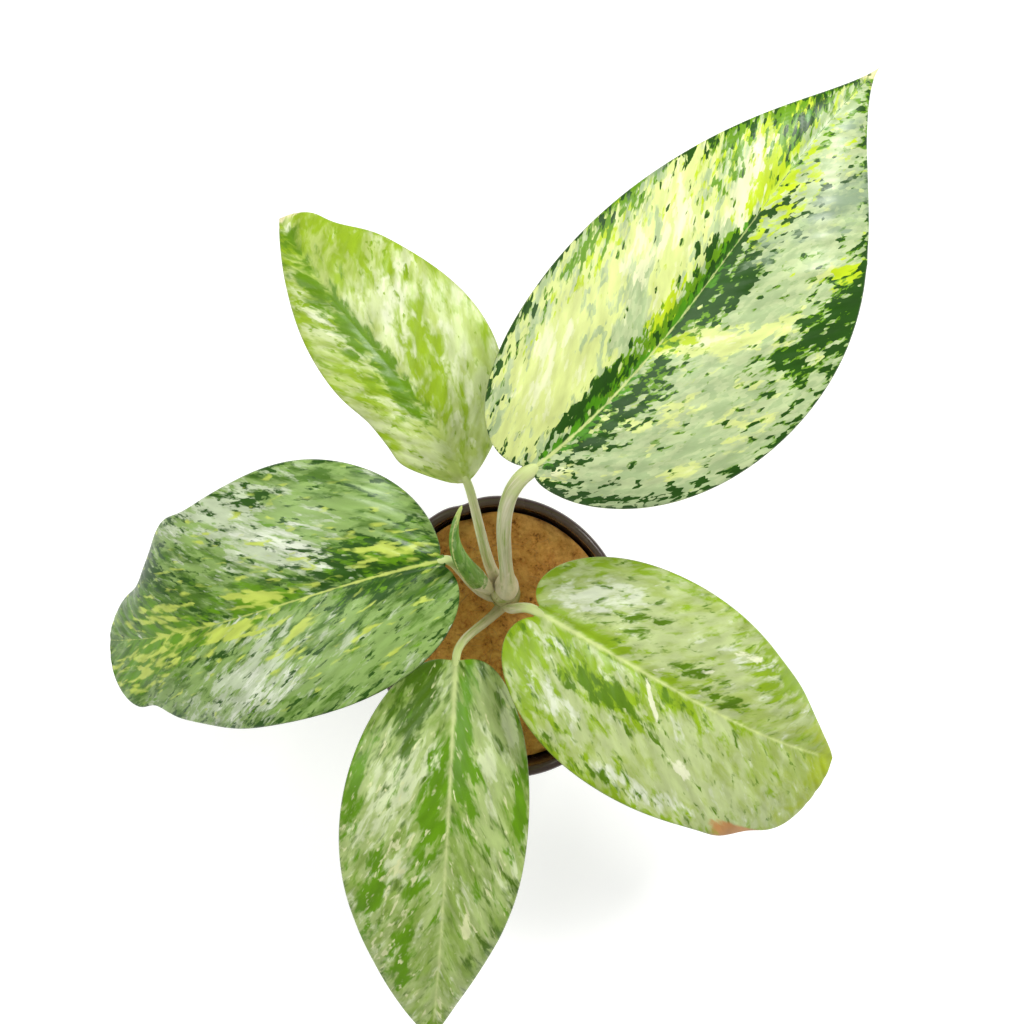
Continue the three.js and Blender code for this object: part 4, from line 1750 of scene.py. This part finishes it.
# Long soft streaks along the side veins, greener at the margin and the base.
FRONT_SKIN = LivingFinish(
    base="8aa64a",
    markings=(
        Marking(
            "a9bd74", 0.0, cloud=0.4, soft=0.108, grain=(6.0, 12.0), detail=3.0, seed=31.0,
            spots=(Spot(44, 14, 24, 7, 0.22), Spot(46, -22, 20, 11, 0.19), Spot(12, 14, 14, 8, 0.14))
        ),
        # Pale beige-green patches, the leaf's own colour, except the streaks at (16, 20) by the left margin
        # and (40, 14), which are painted highlights.
        Marking(
            "ccd8a6", -0.14, cloud=0.4, soft=0.084, grain=(4.5, 10.5), detail=3.0, seed=35.0,
            spots=(
                Spot(46, -20, 16, 10, 0.27), Spot(40, 14, 16, 4, 0.19), Spot(80, -20, 20, 8, 0.09),
                Spot(16, 20, 12, 3, 0.41)
            )
        ),
        Marking(
            "4c6e0a", -0.14, ((Near.MARGIN, 0.06, 5.0), (Near.BASE, 0.06, 8.0)), soft=0.096,
            grain=(3.9, 10.5), detail=3.0, seed=32.0,
            spots=(Spot(16, -14, 16, 9, 0.3), Spot(90, 14, 30, 8, 0.05))
        ),
        Marking(
            "5f8f00", -0.15, soft=0.084, grain=(4.8, 9.0), detail=3.0, seed=33.0,
            spots=(
                Spot(35, 4, 26, 4, 0.35), Spot(54, -6, 18, 5, 0.38), Spot(112, -14, 16, 6, 0.27),
                Spot(52, 25, 18, 3, 0.32), Spot(46, -35, 24, 4, 0.3), Spot(90, -27, 16, 5, 0.27),
                Spot(82, -10, 12, 5, 0.11), Spot(76, 14, 22, 5, 0.09)
            )
        ),
        Marking(
            "d3d9a0", -0.17, soft=0.06, grain=(2.7, 5.4), detail=2.0, seed=34.0,
            spots=(
                Spot(98, 9, 6, 2, 0.32), Spot(72, -18, 16, 8, 0.11), Spot(102, -18, 14, 6, 0.11),
                Spot(136, 1, 6, 3, 0.16), Spot(62, 10, 3, 4, 0.16)
            )
        ),
        rib_line("c3d08a", -1.4, 2.4, (0.4, 70.0), 0.36), painted_margin_shade("70862e", 0.12),
        Marking("6c9600", -0.6, ((Near.TIP, 0.9, 16.0),), soft=0.12, grain=(4.5, 12.0))
    ),
    jag=0.25, vein_lean=(1.4, 1.1)
)

# Milky patches, partly the leaf's own colour and partly painted highlight near the base, with yellow-green
# between, and a dry brown mark at the right margin.
FRONT_RIGHT_SKIN = LivingFinish(
    base="a6ba5e",
    markings=(
        Marking(
            "bccb8a", 0.02, cloud=0.4, soft=0.12, grain=(6.0, 10.5), detail=3.0, seed=41.0,
            spots=(
                Spot(45, 17, 24, 8, 0.19), Spot(76, -22, 20, 10, 0.16), Spot(22, -24, 14, 8, 0.22),
                Spot(84, 22, 20, 6, 0.14), Spot(110, 0, 16, 20, -0.14)
            )
        ),
        # Milky patches: the spots by the base at (16, 14), (20, -24) and (18, -7) are painted highlights;
        # the others are the leaf's own milky colour.
        Marking(
            "dfe7c8", -0.19, cloud=0.3, soft=0.108, grain=(3.9, 9.0), detail=3.0, seed=47.0,
            spots=(
                Spot(16, 14, 10, 9, 0.35), Spot(20, -24, 11, 5, 0.35), Spot(18, -7, 14, 2, 0.38),
                Spot(82, 22, 16, 5, 0.19), Spot(62, -36, 22, 3, 0.27)
            )
        ),
        Marking(
            "8cae14", -0.13, ((Near.RIB, 0.08, 5.0), (Near.MARGIN, 0.22, 3.5)), soft=0.096,
            grain=(4.2, 7.5), detail=3.0, seed=42.0,
            spots=(
                Spot(32, -11, 22, 8, 0.27), Spot(22, 3, 14, 3, 0.24), Spot(6, -18, 10, 14, 0.16),
                Spot(58, -3, 14, 4, 0.22), Spot(100, 22, 24, 10, 0.19), Spot(76, -22, 24, 10, -0.08)
            )
        ),
        Marking(
            "587e00", -0.15, soft=0.072, grain=(3.3, 6.9), detail=3.0, seed=43.0,
            spots=(
                Spot(31, 13, 10, 8, 0.16), Spot(58, 9, 8, 3, 0.24), Spot(76, 6, 7, 3, 0.27),
                Spot(34, -13, 18, 6, 0.22), Spot(56, -4, 10, 3, 0.19), Spot(40, -38, 20, 3, 0.19)
            )
        ),
        Marking(
            "e9edc4", -0.26, soft=0.06, grain=(3.9, 6.0), detail=3.0, seed=44.0,
            spots=(
                Spot(70, -23, 4, 3, 0.54), Spot(50, -7, 1.4, 7, 0.49), Spot(74, 23, 8, 2, 0.32),
                Spot(62, 11, 3, 2, 0.27)
            )
        ),
        rib_line("d0de8e", -1.3, 2.2, (0.3, 50.0), 0.36),
        Marking("a0b40e", -0.42, ((Near.TIP, 0.75, 22.0),), soft=0.192, grain=(6.0, 9.0), seed=45.0),
        painted_margin_shade("8a9a3a", 0.12),
        Marking(
            "c08a4c", -0.9, ((Near.MARGIN, 0.6, 2.4),), soft=0.168, grain=(9.0, 9.0), seed=46.0,
            spots=(Spot(104, -36, 18, 4, 1.22),)
        )
    ),
    jag=0.25, vein_lean=(0.9, 0.9)
)


class Plant:
    """The whole plant: its cane, its open leaves on their stalks and its rolled leaf."""

    @staticmethod
    def _back_leaves() -> tuple[Petiole, ...]:
        """Returns the large leaf at the back right and the pale one at the back left."""
        return (
            Petiole(
                LeafBlade(
                    name="back_right",
                    midrib=((7.7, 59.5, 193), (54, 92.5, 222), (77, 146, 231), (114.8, 182.3, 213)),
                    rib_width=4.4, fold=14, sweep=(-54, 0),
                    left=HalfForm(44, 0.385, 0.8, 1.43, (1.2, 1.6, 0.1)),
                    right=HalfForm(50.2, 0.48, 0.83, 1.47, (1.8, 1.4, 0.6)), upper=BACK_RIGHT_SKIN,
                    seed=1.0, creases=(Crease(82, 0.9, 2.2, -1),)
                ),
                start=(0.8, 19.4, 106.4), toward=(2.6, 27, 140), handle=18, radius=(2.4, 2.6), sheath=2.2
            ),
            Petiole(
                LeafBlade(
                    name="back_left",
                    midrib=((-12.3, 57.4, 152), (-27, 92.5, 172), (-59, 115, 172), (-75.4, 146.1, 158)),
                    rib_width=3.2, fold=14, sweep=(24, -12),
                    left=HalfForm(
                        20.3, 0.425, 0.46, 0.96, (1.2, 1.8, 0.3),
                        ((0.09, 0.2, 0.076), (0.315, -0.08, 0.096))
                    ),
                    right=HalfForm(34.3, 0.4, 0.585, 0.3, (1.4, 1.3, 0.8), ((0.94, -0.22, 0.08),)),
                    upper=BACK_LEFT_SKIN, seed=2.0
                ),
                start=(-2.6, 22.6, 100), toward=(-6.6, 27.4, 122), handle=9, radius=(2.3, 1.5), sheath=0.3
            )
        )

    @staticmethod
    def _front_leaves() -> tuple[Petiole, ...]:
        """Returns the three lower leaves, at the left, the front and the front right."""
        return (
            Petiole(
                LeafBlade(
                    name="left",
                    midrib=((-19.9, 30.8, 150), (-64.2, 22.2, 162), (-105.6, 1.8, 148), (-147.5, -0.7, 96)),
                    rib_width=4, fold=12, sweep=(-60, -11),
                    left=HalfForm(
                        45.4, 0.43, 0.84, 0.27, (2, 2.1, 0.1),
                        ((0.71, 0.05, 0.11), (0.89, -0.1, 0.035), (0.955, 0.05, 0.04))
                    ),
                    right=HalfForm(
                        53, 0.47, 0.97, 0.42, (1.8, 2.4, 0.5), ((0.795, 0.13, 0.065), (0.912, -0.25, 0.075))
                    ),
                    upper=LEFT_SKIN, seed=3.0
                ),
                start=(-2, 15.5, 88), toward=(-12, 14.5, 92), handle=5, radius=(2.1, 1.6), sheath=0.4
            ),
            Petiole(
                LeafBlade(
                    name="front",
                    midrib=((-17.1, -5.8, 122), (-19, -55.4, 131), (-22, -105, 117), (-27.2, -151.5, 90)),
                    rib_width=3.6, fold=12, sweep=(-21, -36),
                    left=HalfForm(33.4, 0.515, 0.415, 0.92, (1.5, 1.7, 0.2)),
                    right=HalfForm(46.4, 0.62, 0.355, 0.655, (1.5, 1.5, 0.7)), upper=FRONT_SKIN, seed=4.0
                ),
                start=(-0.3, 12, 84), toward=(-7, 4, 96), handle=9, radius=(2, 1.5), sheath=0.4
            ),
            Petiole(
                LeafBlade(
                    name="front_right",
                    midrib=((11.3, 12.8, 140), (48.7, -6.6, 151), (83.2, -32, 140), (121.7, -43.8, 103)),
                    rib_width=4, fold=12, sweep=(-66, -12),
                    left=HalfForm(
                        41.8, 0.445, 0.72, 0.78, (1.3, 1.6, 0.4),
                        ((0.845, 0.046, 0.06), (0.966, -0.08, 0.046))
                    ),
                    right=HalfForm(
                        49.5, 0.49, 0.62, 0.19, (1.6, 1.9, 0.9),
                        ((0.846, 0.09, 0.06), (0.87, -0.092, 0.052))
                    ),
                    upper=FRONT_RIGHT_SKIN, seed=5.0
                ),
                start=(0.6, 12.4, 88), toward=(2.5, 9.4, 108), handle=7, radius=(1.9, 1.8), sheath=0.4
            )
        )

    def build(self) -> None:
        """Makes every piece of the plant."""
        Cane().build()
        for stalk in self._back_leaves() + self._front_leaves():
            stalk.build()
            stalk.blade.build()
        RolledLeaf().build()


def main() -> None:
    """Builds the studio and then every piece of the plant, in order."""
    logging.basicConfig(level=logging.INFO, format="%(name)s: %(message)s")
    Studio().build()
    form = PotForm()
    NurseryPot(form).build()
    CoirBed(form, CoirFinish()).build()
    Plant().build()


if __name__ == "__main__":
    main()
